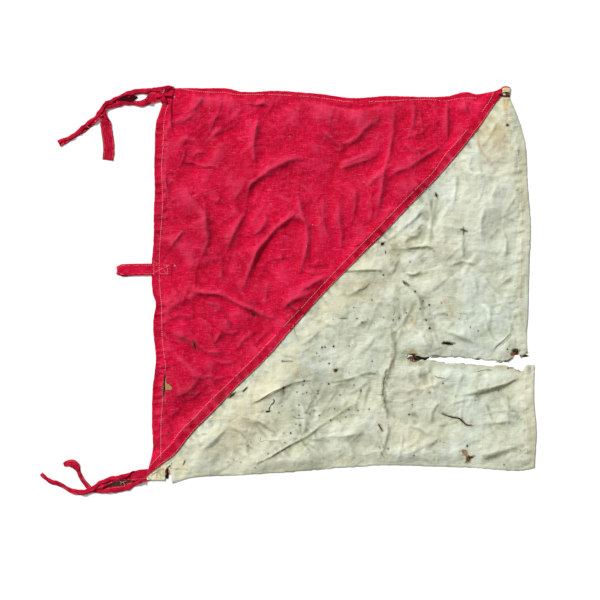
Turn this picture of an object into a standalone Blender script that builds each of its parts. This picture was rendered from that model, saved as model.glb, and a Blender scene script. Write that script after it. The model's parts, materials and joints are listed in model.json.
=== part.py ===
"""A tattered two-colour signal flag, lying flat and face up on a surface.

A red triangle on the hoist side and a cream triangle on the fly side meet in a lapped diagonal seam.
A short loop of tape is stitched half way down the hoist, and a tie of folded tape hangs at each hoist
corner, knotted at the top one. The fly is torn through, and both panels are worn into holes.

+X runs from the hoist to the fly, +Y up the hoist, +Z up off the surface, which is at Z = 0. The origin
is on the surface, in the middle of the flag and its ties. Sizes are in millimetres, and mm() makes
them metres.
"""

import math
from collections import namedtuple

import bmesh
import bpy
from mathutils import Vector
from mathutils.geometry import delaunay_2d_cdt, intersect_point_line

# ---------------------------------------------------------------- driving sizes, in millimetres

CLOTH_THICK = 1.2      # one layer of bunting with its nap
HEM_THICK = 2.0        # a pressed double hem
HEM_WIDTH = 13.5
LAP_WIDTH = 12.5       # how far the red panel covers the cream one
LAP_GAP = 0.9          # air between the two panels in the lap
TAPE_WIDTH = 16.0      # the loop's tape
TAPE_THICK = 1.2
TAPE_GAP = 0.4         # between a tape and the cloth that it is stitched to
KNOT_GAP = 0.4         # between the knot and the ties that leave it

FINE_STEP = 10.2       # spacing of the cloth's points on a fold
COARSE_STEP = 2        # every second one is kept where the cloth lies flat
EDGE_CLEAR = 5.0       # no inner point lies nearer to an edge than this
FOLD_MARGIN = 3.0      # fine points reach this far past a fold's foot
FOLD_END_SHARE = 0.08  # and this share of its length past its ends

SEAM_CALM = 26.0       # folds die out this far from the stitched seam
SEAM_CALM_SHARE = 0.15
LAP_RISE_RUN = 20.0    # the red panel climbs onto the lap over this length

Way = namedtuple("Way", "along out")             # distance along an edge, and how far it strays outward
Spot = namedtuple("Spot", "x y")
Fold = namedtuple("Fold", "x0 y0 x1 y1 bow rise half")   # crest from end to end, sideways bow, height
Swell = namedtuple("Swell", "x y radius rise")
Press = namedtuple("Press", "x y flat radius")   # fully held within flat, free again at radius
Station = namedtuple("Station", "x y z width thick")     # one cross-section of a tie
Lobe = namedtuple("Lobe", "x y z rx ry rz")      # one turn of the knot

# Corners of the two panels.
HOIST_TOP = Spot(-193.0, 300.0)
RED_FLY_TOP = Spot(320.0, 303.0)
SEAM_TOP = Spot(320.0, 294.0)
SEAM_FOOT = Spot(-213.0, -279.0)
FLY_TOP = Spot(332.0, 297.0)
TEAR_TOP = Spot(359.0, -94.0)
TEAR_FOOT = Spot(368.0, -112.0)
FLY_FOOT = Spot(369.0, -266.0)
CREAM_HOIST_FOOT = Spot(-175.0, -289.0)

# Each edge runs clockwise from one corner to the next and strays from the straight line.
TOP_EDGE = [
    Way(20, 2), Way(68, 2), Way(104, 1), Way(122, -3.5), Way(178, -2.5), Way(210, -5), Way(234, -7),
    Way(258, -10), Way(280, -13.5), Way(306, -13.5), Way(334, -11.5), Way(432, -12), Way(460, -6),
    Way(474, -9.5), Way(492, -7), Way(505, -4),
]
SEAM_EDGE = [
    Way(19, 2.5), Way(50, 7.5), Way(96, 12), Way(151, 14.5), Way(206, 13), Way(271, 12.5), Way(334, 10),
    Way(408, 8), Way(472, 9.5), Way(523, 11.5), Way(586, 8.5), Way(650, 7.5), Way(684, 6), Way(730, 9),
    Way(761, 3.5),
]
HOIST_EDGE = [
    Way(11, -3), Way(27, -6.5), Way(40, -8.5), Way(54, -8), Way(72, -6), Way(99, -5), Way(126, -5),
    Way(155, -7), Way(174, -8.5), Way(193, -6.5), Way(217, -3), Way(233, -2.5), Way(261, -5),
    Way(271, -1), Way(283, 1), Way(297, 2.5), Way(319, 3), Way(345, 1.5), Way(369, 1.5), Way(405, 2.5),
    Way(429, 2), Way(451, 3.5), Way(495, 4.5), Way(519, 4.5), Way(533, 3), Way(541, 0.5), Way(550, -2),
    Way(560, -4.5),
]
FLY_EDGE_ABOVE = [
    Way(6, -1), Way(26, 5), Way(52, 12.5), Way(82, 17.5), Way(136, 16.5), Way(201, 17), Way(268, 10),
    Way(328, 4.5), Way(380, -1),
]
FLY_EDGE_BELOW = [Way(60, 0), Way(98, 3), Way(125, 1.5)]
FOOT_EDGE = [
    Way(20, 3.5), Way(59, 0), Way(103, -5), Way(155, -8.5), Way(217, -13), Way(292, -12), Way(367, -9),
    Way(446, -7.5), Way(518, -6), Way(531, -3),
]

# The tear from the fly, upper lip inward and lower lip outward, with the slit that it ends in.
TEAR_LIPS = [
    Spot(348, -100), Spot(343.5, -88), Spot(339, -98), Spot(332, -106.5), Spot(313, -107),
    Spot(292, -104), Spot(260, -100.5), Spot(236, -100), Spot(215, -100), Spot(202, -100),
    Spot(191, -97), Spot(180, -97.5), Spot(178, -101), Spot(184, -106), Spot(194, -106.5),
    Spot(210, -105), Spot(230, -108.5), Spot(259, -110.5), Spot(301, -114), Spot(326, -114.5),
    Spot(341, -119), Spot(351, -122), Spot(356, -112),
]
# The cream corner is torn beside its stitched box.
CORNER_SLIT = [
    Spot(-178.5, -270), Spot(-181.5, -265), Spot(-184, -269), Spot(-185.5, -285), Spot(-212, -285),
]
BOX_HOIST_SIDE = [Spot(-212, -279), Spot(-204, -262)]
# The cream cloth is gathered into a small knob at the fly top, and its hem starts below that.
KNOB = [Spot(321.5, 303.5), Spot(330, 303.5)]
HEM_START = 3

HOIST_HOLE = [
    Spot(-186.5, -124), Spot(-180, -131), Spot(-174, -136), Spot(-173, -143), Spot(-181, -152),
    Spot(-185.5, -159), Spot(-188, -146),
]
RUST_HOLE = [
    Spot(254, -241), Spot(261, -239.5), Spot(269, -249), Spot(278.5, -249), Spot(270, -258.5),
    Spot(262, -251),
]
LENS_HOLE = [Spot(230, -80.5), Spot(237, -77), Spot(249, -80), Spot(237, -83)]

# ---------------------------------------------------------------- how the cloth lies

FOLDS = [
    # red panel
    Fold(7, 126, -82, 6, -12, 7, 17),
    Fold(-154, 6, -17, -35, 2, 6, 15),
    Fold(-73, 135, -101, 66, 3, 5, 15),
    Fold(-60, 155, 17, 203, 8, 4.5, 15),
    Fold(154, 286, 122, 104, 4, 5, 16),
    Fold(221, 228, 137, 168, 3, 4.5, 15),
    Fold(127, 262, 71, 225, 2, 5, 15),
    Fold(68, 140, 70, 55, 0, 5, 15),
    Fold(-134, 129, -145, 48, 3, 4, 15),
    Fold(-176, -55, -91, -84, 2, 3.5, 14),
    Fold(-167, 212, -103, 185, 0, 3.5, 14),
    Fold(-58, 190, -49, 265, 0, 4, 14),
    Fold(55, 33, -16, -22, 3, 5, 14),
    # cream panel
    Fold(241, 180, 238, 120, 0, 4, 14),
    Fold(194, 130, 154, 94, 0, 4, 14),
    Fold(148, 73, 226, 67, 2, 4, 14),
    Fold(122, 39, 200, 39, 2, 3.5, 13),
    Fold(296, 2, 340, 36, 0, 3, 13),
    Fold(226, -46, 290, -70, 2, 4, 14),
    Fold(250, -150, 347, -120, 3, 6, 14),
    Fold(274, -195, 343, -188, 2, 4, 14),
    Fold(275, -244, 347, -220, 2, 4.5, 14),
    Fold(145, -62, 124, -248, -6, 5, 15),
    Fold(-58, -252, 109, -148, 0, 7, 15),
    Fold(29, -215, 115, -204, 2, 3.5, 13),
    Fold(-139, -237, -97, -195, 0, 3, 13),
    Fold(-58, -159, 32, -124, 3, 4, 14),
    Fold(59, -132, 121, -114, 2, 3.5, 13),
]
SWELLS = [
    Swell(-60, 120, 120, 3.0), Swell(-115, -30, 75, 2.5), Swell(150, 210, 90, 2.5),
    Swell(265, 120, 85, 3.0), Swell(200, -20, 105, 3.5), Swell(95, -185, 105, 3.0),
    Swell(290, -180, 75, 3.0), Swell(-60, -215, 65, 2.5), Swell(40, -70, 75, 2.5),
]
PRESSES = [
    Press(-190, 31, 22, 44),      # under the loop
    Press(-184, 292, 20, 40),     # under the knot
    Press(-192, -272, 34, 64),    # over the bottom tie's root
    Press(-190, 200, 20, 40),     # a level stretch of the hoist hem
]
ROOT_PLACE = Press(-195, -276, 32, 115)    # the corner is lifted by the tie that is stitched under it
ROOT_TIE_THICK = 1.4                       # that tie's first stations, pressed flat
ROOT_TIE_LIFT = 0.1                        # its underside over the surface
ROOT_EASE = 0.2                            # room for the tie's bevelled corners
ROOT_RISE = ROOT_TIE_LIFT + ROOT_TIE_THICK + TAPE_GAP + ROOT_EASE
ROOT_FINE = 2.0 * ROOT_PLACE.flat          # the cloth is finely divided this far around it

# ---------------------------------------------------------------- ties, loop and knot

TOP_LONG_TIE = [
    Station(-190, 297, 9.0, 9, 3.2), Station(-208, 298, 7.4, 9, 3.2), Station(-226, 297, 5.8, 8.5, 3.2),
    Station(-244, 290, 5.8, 9, 3.2), Station(-262, 281, 5.8, 9, 3.2), Station(-275, 271, 5.8, 9.5, 3.2),
    Station(-288, 257, 5.4, 9, 3.2), Station(-304, 244, 2.0, 9, 3.0), Station(-319, 233, 1.7, 8.5, 3.0),
    Station(-332, 225, 1.7, 7.5, 3.0), Station(-344, 219.5, 1.6, 8.5, 2.8),
]
TOP_SHORT_TIE = [
    Station(-190, 289, 6.4, 10, 2.4), Station(-208, 285, 4.4, 10, 2.2),
    Station(-219, 282, 2.4, 8, 2.4), Station(-232, 283.5, 1.8, 7, 3.0),
    Station(-247, 283, 1.7, 7.5, 3.0), Station(-262, 280.5, 1.7, 8, 3.0),
    Station(-272, 275, 1.7, 9, 3.0), Station(-276, 265, 1.6, 10, 2.8),
    Station(-274.5, 254, 1.3, 13, 2.2), Station(-273, 242, 1.0, 15.5, 1.6),
    Station(-271, 225, 0.9, 15, 1.5), Station(-270.5, 209, 0.9, 14.5, 1.5),
    Station(-271, 195, 0.9, 14.5, 1.5),
]
BOTTOM_LONG_TIE = [
    Station(-216.5, -277, 4.6, 12, 2.4), Station(-226, -277, 4.6, 11, 2.4),
    Station(-237, -278.5, 4.8, 10, 2.8), Station(-250, -281, 5.0, 9, 3.2),
    Station(-265, -284.5, 5.4, 9.5, 3.4), Station(-281, -291.5, 5.8, 10, 3.4),
    Station(-298, -300.5, 5.6, 8, 3.4), Station(-311, -303.5, 3.4, 6.5, 3.2),
    Station(-325.5, -301, 1.8, 6, 3.2), Station(-339, -293.5, 1.7, 5.5, 3.2),
    Station(-355, -288, 1.7, 5.5, 3.0), Station(-365.5, -281, 1.7, 5.5, 3.0),
    Station(-371, -275.5, 1.6, 5, 2.8),
]
ROOT_LEVEL = ROOT_TIE_LIFT + ROOT_TIE_THICK / 2.0
BOTTOM_CURLED_TIE = [
    Station(-178, -274.5, ROOT_LEVEL, 14, ROOT_TIE_THICK),
    Station(-196, -276.5, ROOT_LEVEL, 14, ROOT_TIE_THICK),
    Station(-212, -279.5, ROOT_LEVEL, 13, ROOT_TIE_THICK), Station(-227, -286, 1.2, 9, 2.0),
    Station(-239, -294, 1.6, 7.5, 2.8), Station(-251, -298, 1.7, 7, 3.0),
    Station(-268, -299.8, 1.7, 6.5, 3.0), Station(-283, -301, 1.7, 6.5, 3.0),
    Station(-294.5, -299.3, 1.7, 6.5, 3.0), Station(-303, -292, 1.7, 6, 3.0),
    Station(-309.8, -282.5, 1.8, 6, 3.0), Station(-314.5, -273, 2.0, 6.5, 3.0),
    Station(-317.5, -265.5, 2.2, 9, 2.4), Station(-323.5, -260, 2.0, 10, 1.8),
    Station(-331, -259.7, 1.6, 7, 1.6), Station(-337.5, -261, 1.2, 2.5, 1.4),
]
TIE_STEPS = 2          # sections between two stations
TIE_CORNER = 0.3       # share of the thickness taken off a tie's corners

KNOT_LOBES = [
    Lobe(-184, 291, 8.9, 12, 12.5, 6.2), Lobe(-188, 299, 9.2, 9, 7.5, 5.6),
    Lobe(-178, 300, 8.4, 7.5, 6.5, 5.2), Lobe(-179, 283, 7.6, 7.5, 6, 4.6),
]

LOBE_SIDES = 14
LOBE_RINGS = 8

LOOP_ROW = Spot(-174.0, 31.0)      # the stitched end of the loop, and its middle line
LOOP_REACH = 84.0                  # from that end to the loop's outer tip
LOOP_EYE_LENGTH = 36.0
LOOP_EYE_HEIGHT = 5.6
LOOP_SEWN_LENGTH = 34.0            # what lies on the hoist hem
LOOP_LIFT = HEM_THICK + TAPE_GAP   # underside of the sewn part
LOOP_STEP_RUN = 10.0               # the loop comes down off the hem over this length
LOOP_STEP_RISE = 0.4               # and its upper side starts a little above the sewn part
LOOP_CROWN = 22.0                  # highest point, from the outer tip
LOOP_EYE_TOE = Spot(2.0, 1.2)      # blunt inner end of the eye, along the loop and up
ARC_STEPS = 8

COLLECTION = "tattered_signal_flag"


def mm(value):
    return value * 0.001


def smooth(share):
    share = min(max(share, 0.0), 1.0)
    return share * share * (3.0 - 2.0 * share)


# ---------------------------------------------------------------- outlines

def edge(start, end, ways):
    """Points from start to just before end, strayed to the left of the straight line."""
    run = Vector((end.x - start.x, end.y - start.y)).normalized()
    outward = Vector((-run.y, run.x))
    points = [Spot(start.x, start.y)]
    for way in ways:
        place = Vector((start.x, start.y)) + run * way.along + outward * way.out
        points.append(Spot(place.x, place.y))
    return points


def seam_line():
    """The red panel's lapped edge, from the fly top down to the hoist foot."""
    return edge(SEAM_TOP, SEAM_FOOT, SEAM_EDGE) + [SEAM_FOOT]


def lap_line():
    """The cream panel's hidden edge, from the hoist foot up to the fly top, inside the red panel."""
    line = seam_line()
    run = Vector((SEAM_FOOT.x - SEAM_TOP.x, SEAM_FOOT.y - SEAM_TOP.y)).normalized()
    inward = Vector((run.y, -run.x))
    hidden = [Spot(spot.x + inward.x * LAP_WIDTH, spot.y + inward.y * LAP_WIDTH) for spot in line[1:-2]]
    return hidden[::-1]


def red_outline():
    return (edge(HOIST_TOP, RED_FLY_TOP, TOP_EDGE) + [RED_FLY_TOP] + seam_line()
            + edge(SEAM_FOOT, HOIST_TOP, HOIST_EDGE)[1:])


def cream_outline():
    return (KNOB + edge(FLY_TOP, TEAR_TOP, FLY_EDGE_ABOVE) + [TEAR_TOP] + TEAR_LIPS
            + edge(TEAR_FOOT, FLY_FOOT, FLY_EDGE_BELOW) + edge(FLY_FOOT, CREAM_HOIST_FOOT, FOOT_EDGE)
            + [CREAM_HOIST_FOOT] + CORNER_SLIT + BOX_HOIST_SIDE + lap_line())


def distance_to_line(x, y, line):
    """Shortest distance from a point to a run of straight pieces."""
    point = Vector((x, y))
    nearest = math.inf
    for first, second in zip(line, line[1:]):
        a = Vector((first.x, first.y))
        b = Vector((second.x, second.y))
        foot, share = intersect_point_line(point, a, b)
        if share < 0.0:
            foot = a
        elif share > 1.0:
            foot = b
        nearest = min(nearest, (point - foot.to_2d()).length)
    return nearest


def is_inside(x, y, loop):
    """Even-odd test of a point against one closed outline."""
    inside = False
    for first, second in zip(loop, loop[1:] + loop[:1]):
        if (first.y > y) != (second.y > y):
            cross = first.x + (y - first.y) * (second.x - first.x) / (second.y - first.y)
            if x < cross:
                inside = not inside
    return inside


# ---------------------------------------------------------------- heights

def fold_parts(fold, x, y):
    """Share along a fold's crest, and the distance from it."""
    run = Vector((fold.x1 - fold.x0, fold.y1 - fold.y0))
    length = run.length
    run /= length
    offset = Vector((x - fold.x0, y - fold.y0))
    share = offset.dot(run) / length
    side = offset.dot(Vector((-run.y, run.x))) - fold.bow * 4.0 * share * (1.0 - share)
    return share, abs(side)


def fold_height(fold, x, y):
    share, side = fold_parts(fold, x, y)
    if not 0.0 < share < 1.0 or side >= fold.half:
        return 0.0
    taper = smooth(4.0 * min(share, 1.0 - share))
    return fold.rise * taper * 0.5 * (1.0 + math.cos(math.pi * side / fold.half))


def needs_fine_points(x, y):
    if math.hypot(x - ROOT_PLACE.x, y - ROOT_PLACE.y) < ROOT_FINE:
        return True
    for fold in FOLDS:
        share, side = fold_parts(fold, x, y)
        if -FOLD_END_SHARE < share < 1.0 + FOLD_END_SHARE and side < fold.half + FOLD_MARGIN:
            return True
    return False


def press_share(press, x, y):
    """1 in the middle of a pressed place, 0 outside it."""
    return smooth((press.radius - math.hypot(x - press.x, y - press.y)) / (press.radius - press.flat))


def cloth_height(x, y, seam):
    """Height of the cloth's underside over the surface, in millimetres."""
    height = sum(fold_height(fold, x, y) for fold in FOLDS)
    for swell in SWELLS:
        height += swell.rise * smooth(1.0 - math.hypot(x - swell.x, y - swell.y) / swell.radius)
    calm = smooth(distance_to_line(x, y, seam) / SEAM_CALM)
    height *= SEAM_CALM_SHARE + (1.0 - SEAM_CALM_SHARE) * calm
    for press in PRESSES:
        height *= 1.0 - press_share(press, x, y)
    return height + ROOT_RISE * press_share(ROOT_PLACE, x, y)


def lap_height(x, y, seam):
    """How much higher the red panel lies where the cream one is under it."""
    flat = LAP_WIDTH + FINE_STEP * COARSE_STEP
    beyond = distance_to_line(x, y, seam) - flat
    return (CLOTH_THICK + LAP_GAP) * (1.0 - smooth(beyond / LAP_RISE_RUN))


# ---------------------------------------------------------------- objects

def new_material(name, colour, roughness):
    material = bpy.data.materials.new(name)
    material.use_nodes = True
    shader = material.node_tree.nodes["Principled BSDF"]
    shader.inputs["Base Color"].default_value = (*colour, 1.0)
    shader.inputs["Roughness"].default_value = roughness
    shader.inputs["Metallic"].default_value = 0.0
    return material


def finish_object(obj, collection, material, holder):
    for old in list(obj.users_collection):
        old.objects.unlink(obj)
    collection.objects.link(obj)
    obj.data.materials.clear()
    obj.data.materials.append(material)
    obj.parent = holder
    return obj


def inner_points(outline, holes):
    """A staggered grid of points, close together on the folds and wide apart on the flat."""
    loops = [outline] + holes
    closed = [loop + loop[:1] for loop in loops]
    low_x = min(spot.x for spot in outline)
    high_x = max(spot.x for spot in outline)
    low_y = min(spot.y for spot in outline)
    high_y = max(spot.y for spot in outline)
    row_step = FINE_STEP * math.sqrt(3.0) / 2.0
    points = []
    for row in range(math.floor(low_y / row_step), math.ceil(high_y / row_step) + 1):
        for column in range(math.floor(low_x / FINE_STEP) - 1, math.ceil(high_x / FINE_STEP) + 1):
            x = FINE_STEP * (column + 0.5 * (row % 2))
            y = row_step * row
            is_coarse = row % COARSE_STEP == 0 and (column + row // COARSE_STEP) % COARSE_STEP == 0
            if not is_coarse and not needs_fine_points(x, y):
                continue
            if not is_inside(x, y, outline) or any(is_inside(x, y, hole) for hole in holes):
                continue
            if min(distance_to_line(x, y, loop) for loop in closed) > EDGE_CLEAR:
                points.append(Spot(x, y))
    return points


def build_sheet(name, outline, holes, hem_lines, height):
    """A cut panel: its outline and holes filled with triangles, laid in its folds and thickened."""
    points = []
    edges = []
    for loop in [outline] + holes:
        first = len(points)
        points += loop
        edges += [(first + i, first + (i + 1) % len(loop)) for i in range(len(loop))]
    points += inner_points(outline, holes)
    flat = [Vector((spot.x, spot.y)) for spot in points]
    fill_outline = 1
    spots, _, filled, _, _, _ = delaunay_2d_cdt(flat, edges, [], fill_outline, 1e-4)
    faces = []
    for face in filled:
        middle = sum((spots[index] for index in face), Vector((0.0, 0.0))) / len(face)
        if not any(is_inside(middle.x, middle.y, hole) for hole in holes):
            faces.append(face)

    mesh = bpy.data.meshes.new(name)
    laid = [(mm(spot.x), mm(spot.y), mm(height(spot.x, spot.y))) for spot in spots]
    mesh.from_pydata(laid, [], faces)
    obj = bpy.data.objects.new(name, mesh)
    bpy.context.scene.collection.objects.link(obj)

    hem = obj.vertex_groups.new(name="hem")
    for index, spot in enumerate(spots):
        near = min(distance_to_line(spot.x, spot.y, line) for line in hem_lines)
        hem.add([index], 1.0 - smooth((near - HEM_WIDTH) / FINE_STEP), "REPLACE")
    solidify = obj.modifiers.new("Thickness", "SOLIDIFY")
    solidify.thickness = mm(HEM_THICK)
    solidify.offset = 1.0
    solidify.vertex_group = "hem"
    solidify.thickness_vertex_group = CLOTH_THICK / HEM_THICK
    return obj


def build_red_panel():
    seam = seam_line()
    hems = [
        edge(HOIST_TOP, RED_FLY_TOP, TOP_EDGE) + [RED_FLY_TOP],
        edge(SEAM_FOOT, HOIST_TOP, HOIST_EDGE) + [HOIST_TOP],
    ]
    return build_sheet("red_panel", red_outline(), [HOIST_HOLE], hems,
                       lambda x, y: cloth_height(x, y, seam) + lap_height(x, y, seam))


def build_cream_panel():
    seam = seam_line()
    hems = [
        edge(FLY_TOP, TEAR_TOP, FLY_EDGE_ABOVE)[HEM_START:] + [TEAR_TOP],
        edge(TEAR_FOOT, FLY_FOOT, FLY_EDGE_BELOW) + [FLY_FOOT],
    ]
    return build_sheet("cream_panel", cream_outline(), [RUST_HOLE, LENS_HOLE], hems,
                       lambda x, y: cloth_height(x, y, seam))


def spread_stations(stations):
    """A smooth run of sections through the stations (Catmull-Rom)."""
    rows = [Vector(station) for station in stations]
    rows = [rows[0] * 2.0 - rows[1]] + rows + [rows[-1] * 2.0 - rows[-2]]
    sections = []
    for before, here, after, beyond in zip(rows, rows[1:], rows[2:], rows[3:]):
        for step in range(TIE_STEPS):
            t = step / TIE_STEPS
            sections.append(0.5 * (2.0 * here + (after - before) * t
                                   + (2.0 * before - 5.0 * here + 4.0 * after - beyond) * t ** 2
                                   + (3.0 * here - before - 3.0 * after + beyond) * t ** 3))
    sections.append(rows[-2])
    return sections


def build_tie(name, stations):
    """A length of folded tape: a loft through bevelled flat sections, closed at both ends."""
    sections = spread_stations(stations)
    bm = bmesh.new()
    rings = []
    for index, (x, y, z, width, thick) in enumerate(sections):
        ahead = sections[min(index + 1, len(sections) - 1)]
        behind = sections[max(index - 1, 0)]
        run = Vector((ahead[0] - behind[0], ahead[1] - behind[1])).normalized()
        side = Vector((-run.y, run.x, 0.0))
        half_w = width / 2.0
        half_t = thick / 2.0
        cut = thick * TIE_CORNER
        low = cut - half_t
        profile = [
            (-half_w, -low), (-half_w, low), (cut - half_w, -half_t), (half_w - cut, -half_t),
            (half_w, low), (half_w, -low), (half_w - cut, half_t), (cut - half_w, half_t),
        ]
        ring = []
        for across, up in profile:
            place = Vector((x, y, z + up)) + side * across
            ring.append(bm.verts.new(place * mm(1.0)))
        rings.append(ring)
    for ring, following in zip(rings, rings[1:]):
        for i in range(len(ring)):
            j = (i + 1) % len(ring)
            bm.faces.new((ring[i], ring[j], following[j], following[i]))
    bm.faces.new(rings[0])
    bm.faces.new(rings[-1][::-1])
    bmesh.ops.recalc_face_normals(bm, faces=bm.faces)
    mesh = bpy.data.meshes.new(name)
    bm.to_mesh(mesh)
    bm.free()
    obj = bpy.data.objects.new(name, mesh)
    bpy.context.scene.collection.objects.link(obj)
    return obj


def build_lobe(name, lobe, grow):
    bpy.ops.mesh.primitive_uv_sphere_add(segments=LOBE_SIDES, ring_count=LOBE_RINGS, radius=1.0,
                                         location=(mm(lobe.x), mm(lobe.y), mm(lobe.z)))
    obj = bpy.context.object
    obj.name = name
    obj.scale = (mm(lobe.rx + grow), mm(lobe.ry + grow), mm(lobe.rz + grow))
    bpy.ops.object.transform_apply(location=False, rotation=False, scale=True)
    return obj


def build_knot(name, cutters, grow):
    """The knot's turns, joined into one lump around the first."""
    knot = build_lobe(name, KNOT_LOBES[0], grow)
    for index, lobe in enumerate(KNOT_LOBES[1:]):
        turn = build_lobe(f"{name}_turn_{index + 1}", lobe, grow)
        hide_cutter(turn, cutters)
        union = knot.modifiers.new(f"Turn {index + 1}", "BOOLEAN")
        union.operation = "UNION"
        union.solver = "EXACT"
        union.object = turn
    knot.data.shade_smooth()
    return knot


def hide_cutter(obj, cutters):
    for old in list(obj.users_collection):
        old.objects.unlink(obj)
    cutters.objects.link(obj)
    obj.hide_render = True
    obj.display_type = "WIRE"


def arc(centre_x, centre_z, radius):
    """The loop's rounded tip: a half circle from its top, round the outside, to its bottom."""
    angles = [math.radians(90.0 + 180.0 * i / ARC_STEPS) for i in range(ARC_STEPS + 1)]
    return [(centre_x + radius * math.cos(angle), centre_z + radius * math.sin(angle)) for angle in angles]


def add_spline(curve, points):
    spline = curve.splines.new("POLY")
    spline.points.add(len(points) - 1)
    for point, (x, y) in zip(spline.points, points):
        point.co = (mm(x), mm(y), 0.0, 1.0)
    spline.use_cyclic_u = True


def build_loop(name):
    """Tape doubled back on itself: one side view with an open eye, as wide as the tape."""
    sewn = -LOOP_SEWN_LENGTH
    tip = -LOOP_REACH
    eye_radius = LOOP_EYE_HEIGHT / 2.0
    outer_radius = eye_radius + TAPE_THICK
    sewn_high = LOOP_LIFT + 2.0 * TAPE_THICK
    off_the_hem = sewn - LOOP_STEP_RUN
    crown = tip + LOOP_CROWN
    outside = [(0.0, LOOP_LIFT), (0.0, sewn_high), (sewn, sewn_high)]
    outside += [(off_the_hem, sewn_high + LOOP_STEP_RISE), (crown, 2.0 * outer_radius)]
    outside += arc(tip + outer_radius, outer_radius, outer_radius)
    outside += [(off_the_hem, 0.0), (sewn, LOOP_LIFT)]
    eye_end = tip + TAPE_THICK + LOOP_EYE_LENGTH
    eye = [(eye_end, TAPE_THICK), (eye_end + LOOP_EYE_TOE.x, TAPE_THICK + LOOP_EYE_TOE.y)]
    eye += [(crown, TAPE_THICK + LOOP_EYE_HEIGHT)]
    eye += arc(tip + outer_radius, outer_radius, eye_radius)

    curve = bpy.data.curves.new(name, "CURVE")
    curve.dimensions = "2D"
    curve.fill_mode = "BOTH"
    curve.extrude = mm(TAPE_WIDTH / 2.0)
    add_spline(curve, outside)
    add_spline(curve, eye)
    guide = bpy.data.objects.new(name + "_side_view", curve)
    bpy.context.scene.collection.objects.link(guide)
    bpy.context.view_layer.update()
    evaluated = guide.evaluated_get(bpy.context.evaluated_depsgraph_get())
    mesh = bpy.data.meshes.new_from_object(evaluated)
    mesh.name = name
    bpy.data.objects.remove(guide)

    bm = bmesh.new()
    bm.from_mesh(mesh)
    bmesh.ops.remove_doubles(bm, verts=bm.verts, dist=0.00001)
    bmesh.ops.recalc_face_normals(bm, faces=bm.faces)
    bm.to_mesh(mesh)
    bm.free()
    obj = bpy.data.objects.new(name, mesh)
    bpy.context.scene.collection.objects.link(obj)
    obj.rotation_euler = (math.radians(90.0), 0.0, 0.0)
    obj.location = (mm(LOOP_ROW.x), mm(LOOP_ROW.y), 0.0)
    return obj


def clear_scene():
    for obj in list(bpy.data.objects):
        bpy.data.objects.remove(obj)
    for old in list(bpy.data.collections):
        bpy.data.collections.remove(old)


def centre_on_origin(holder, parts):
    """Moves the holder so that the flag's box is centred over the origin."""
    bpy.context.view_layer.update()
    graph = bpy.context.evaluated_depsgraph_get()
    corners = []
    for obj in parts:
        evaluated = obj.evaluated_get(graph)
        corners += [evaluated.matrix_world @ vertex.co for vertex in evaluated.data.vertices]
    for axis in (0, 1):
        low = min(corner[axis] for corner in corners)
        high = max(corner[axis] for corner in corners)
        holder.location[axis] -= (low + high) / 2.0


def main():
    clear_scene()
    parts_collection = bpy.data.collections.new(COLLECTION)
    cutters = bpy.data.collections.new("cutters")
    bpy.context.scene.collection.children.link(parts_collection)
    bpy.context.scene.collection.children.link(cutters)
    holder = bpy.data.objects.new("flag_frame", None)
    parts_collection.objects.link(holder)

    red = (0.62, 0.006, 0.05)
    cream = (0.70, 0.71, 0.55)
    knot = build_knot("top_knot", cutters, 0.0)
    knot_space = build_knot("knot_space", cutters, KNOT_GAP)
    pieces = [
        (build_red_panel(), new_material("red_bunting", red, 0.85)),
        (build_cream_panel(), new_material("cream_bunting", cream, 0.88)),
        (build_loop("hoist_loop"), new_material("loop_tape", red, 0.8)),
        (knot, new_material("knot_tape", red, 0.8)),
        (build_tie("top_tie_long", TOP_LONG_TIE), new_material("top_long_tape", red, 0.8)),
        (build_tie("top_tie_short", TOP_SHORT_TIE), new_material("top_short_tape", red, 0.8)),
        (build_tie("bottom_tie_long", BOTTOM_LONG_TIE), new_material("bottom_long_tape", red, 0.8)),
        (build_tie("bottom_tie_curled", BOTTOM_CURLED_TIE), new_material("bottom_curled_tape", red, 0.8)),
    ]
    parts = []
    for obj, material in pieces:
        parts.append(finish_object(obj, parts_collection, material, holder))
        if obj.name.startswith("top_tie"):
            cut = obj.modifiers.new("Clear of the knot", "BOOLEAN")
            cut.operation = "DIFFERENCE"
            cut.solver = "EXACT"
            cut.object = knot_space
    hide_cutter(knot_space, cutters)
    for obj in cutters.objects:
        obj.parent = holder
    centre_on_origin(holder, parts)


main()
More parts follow.
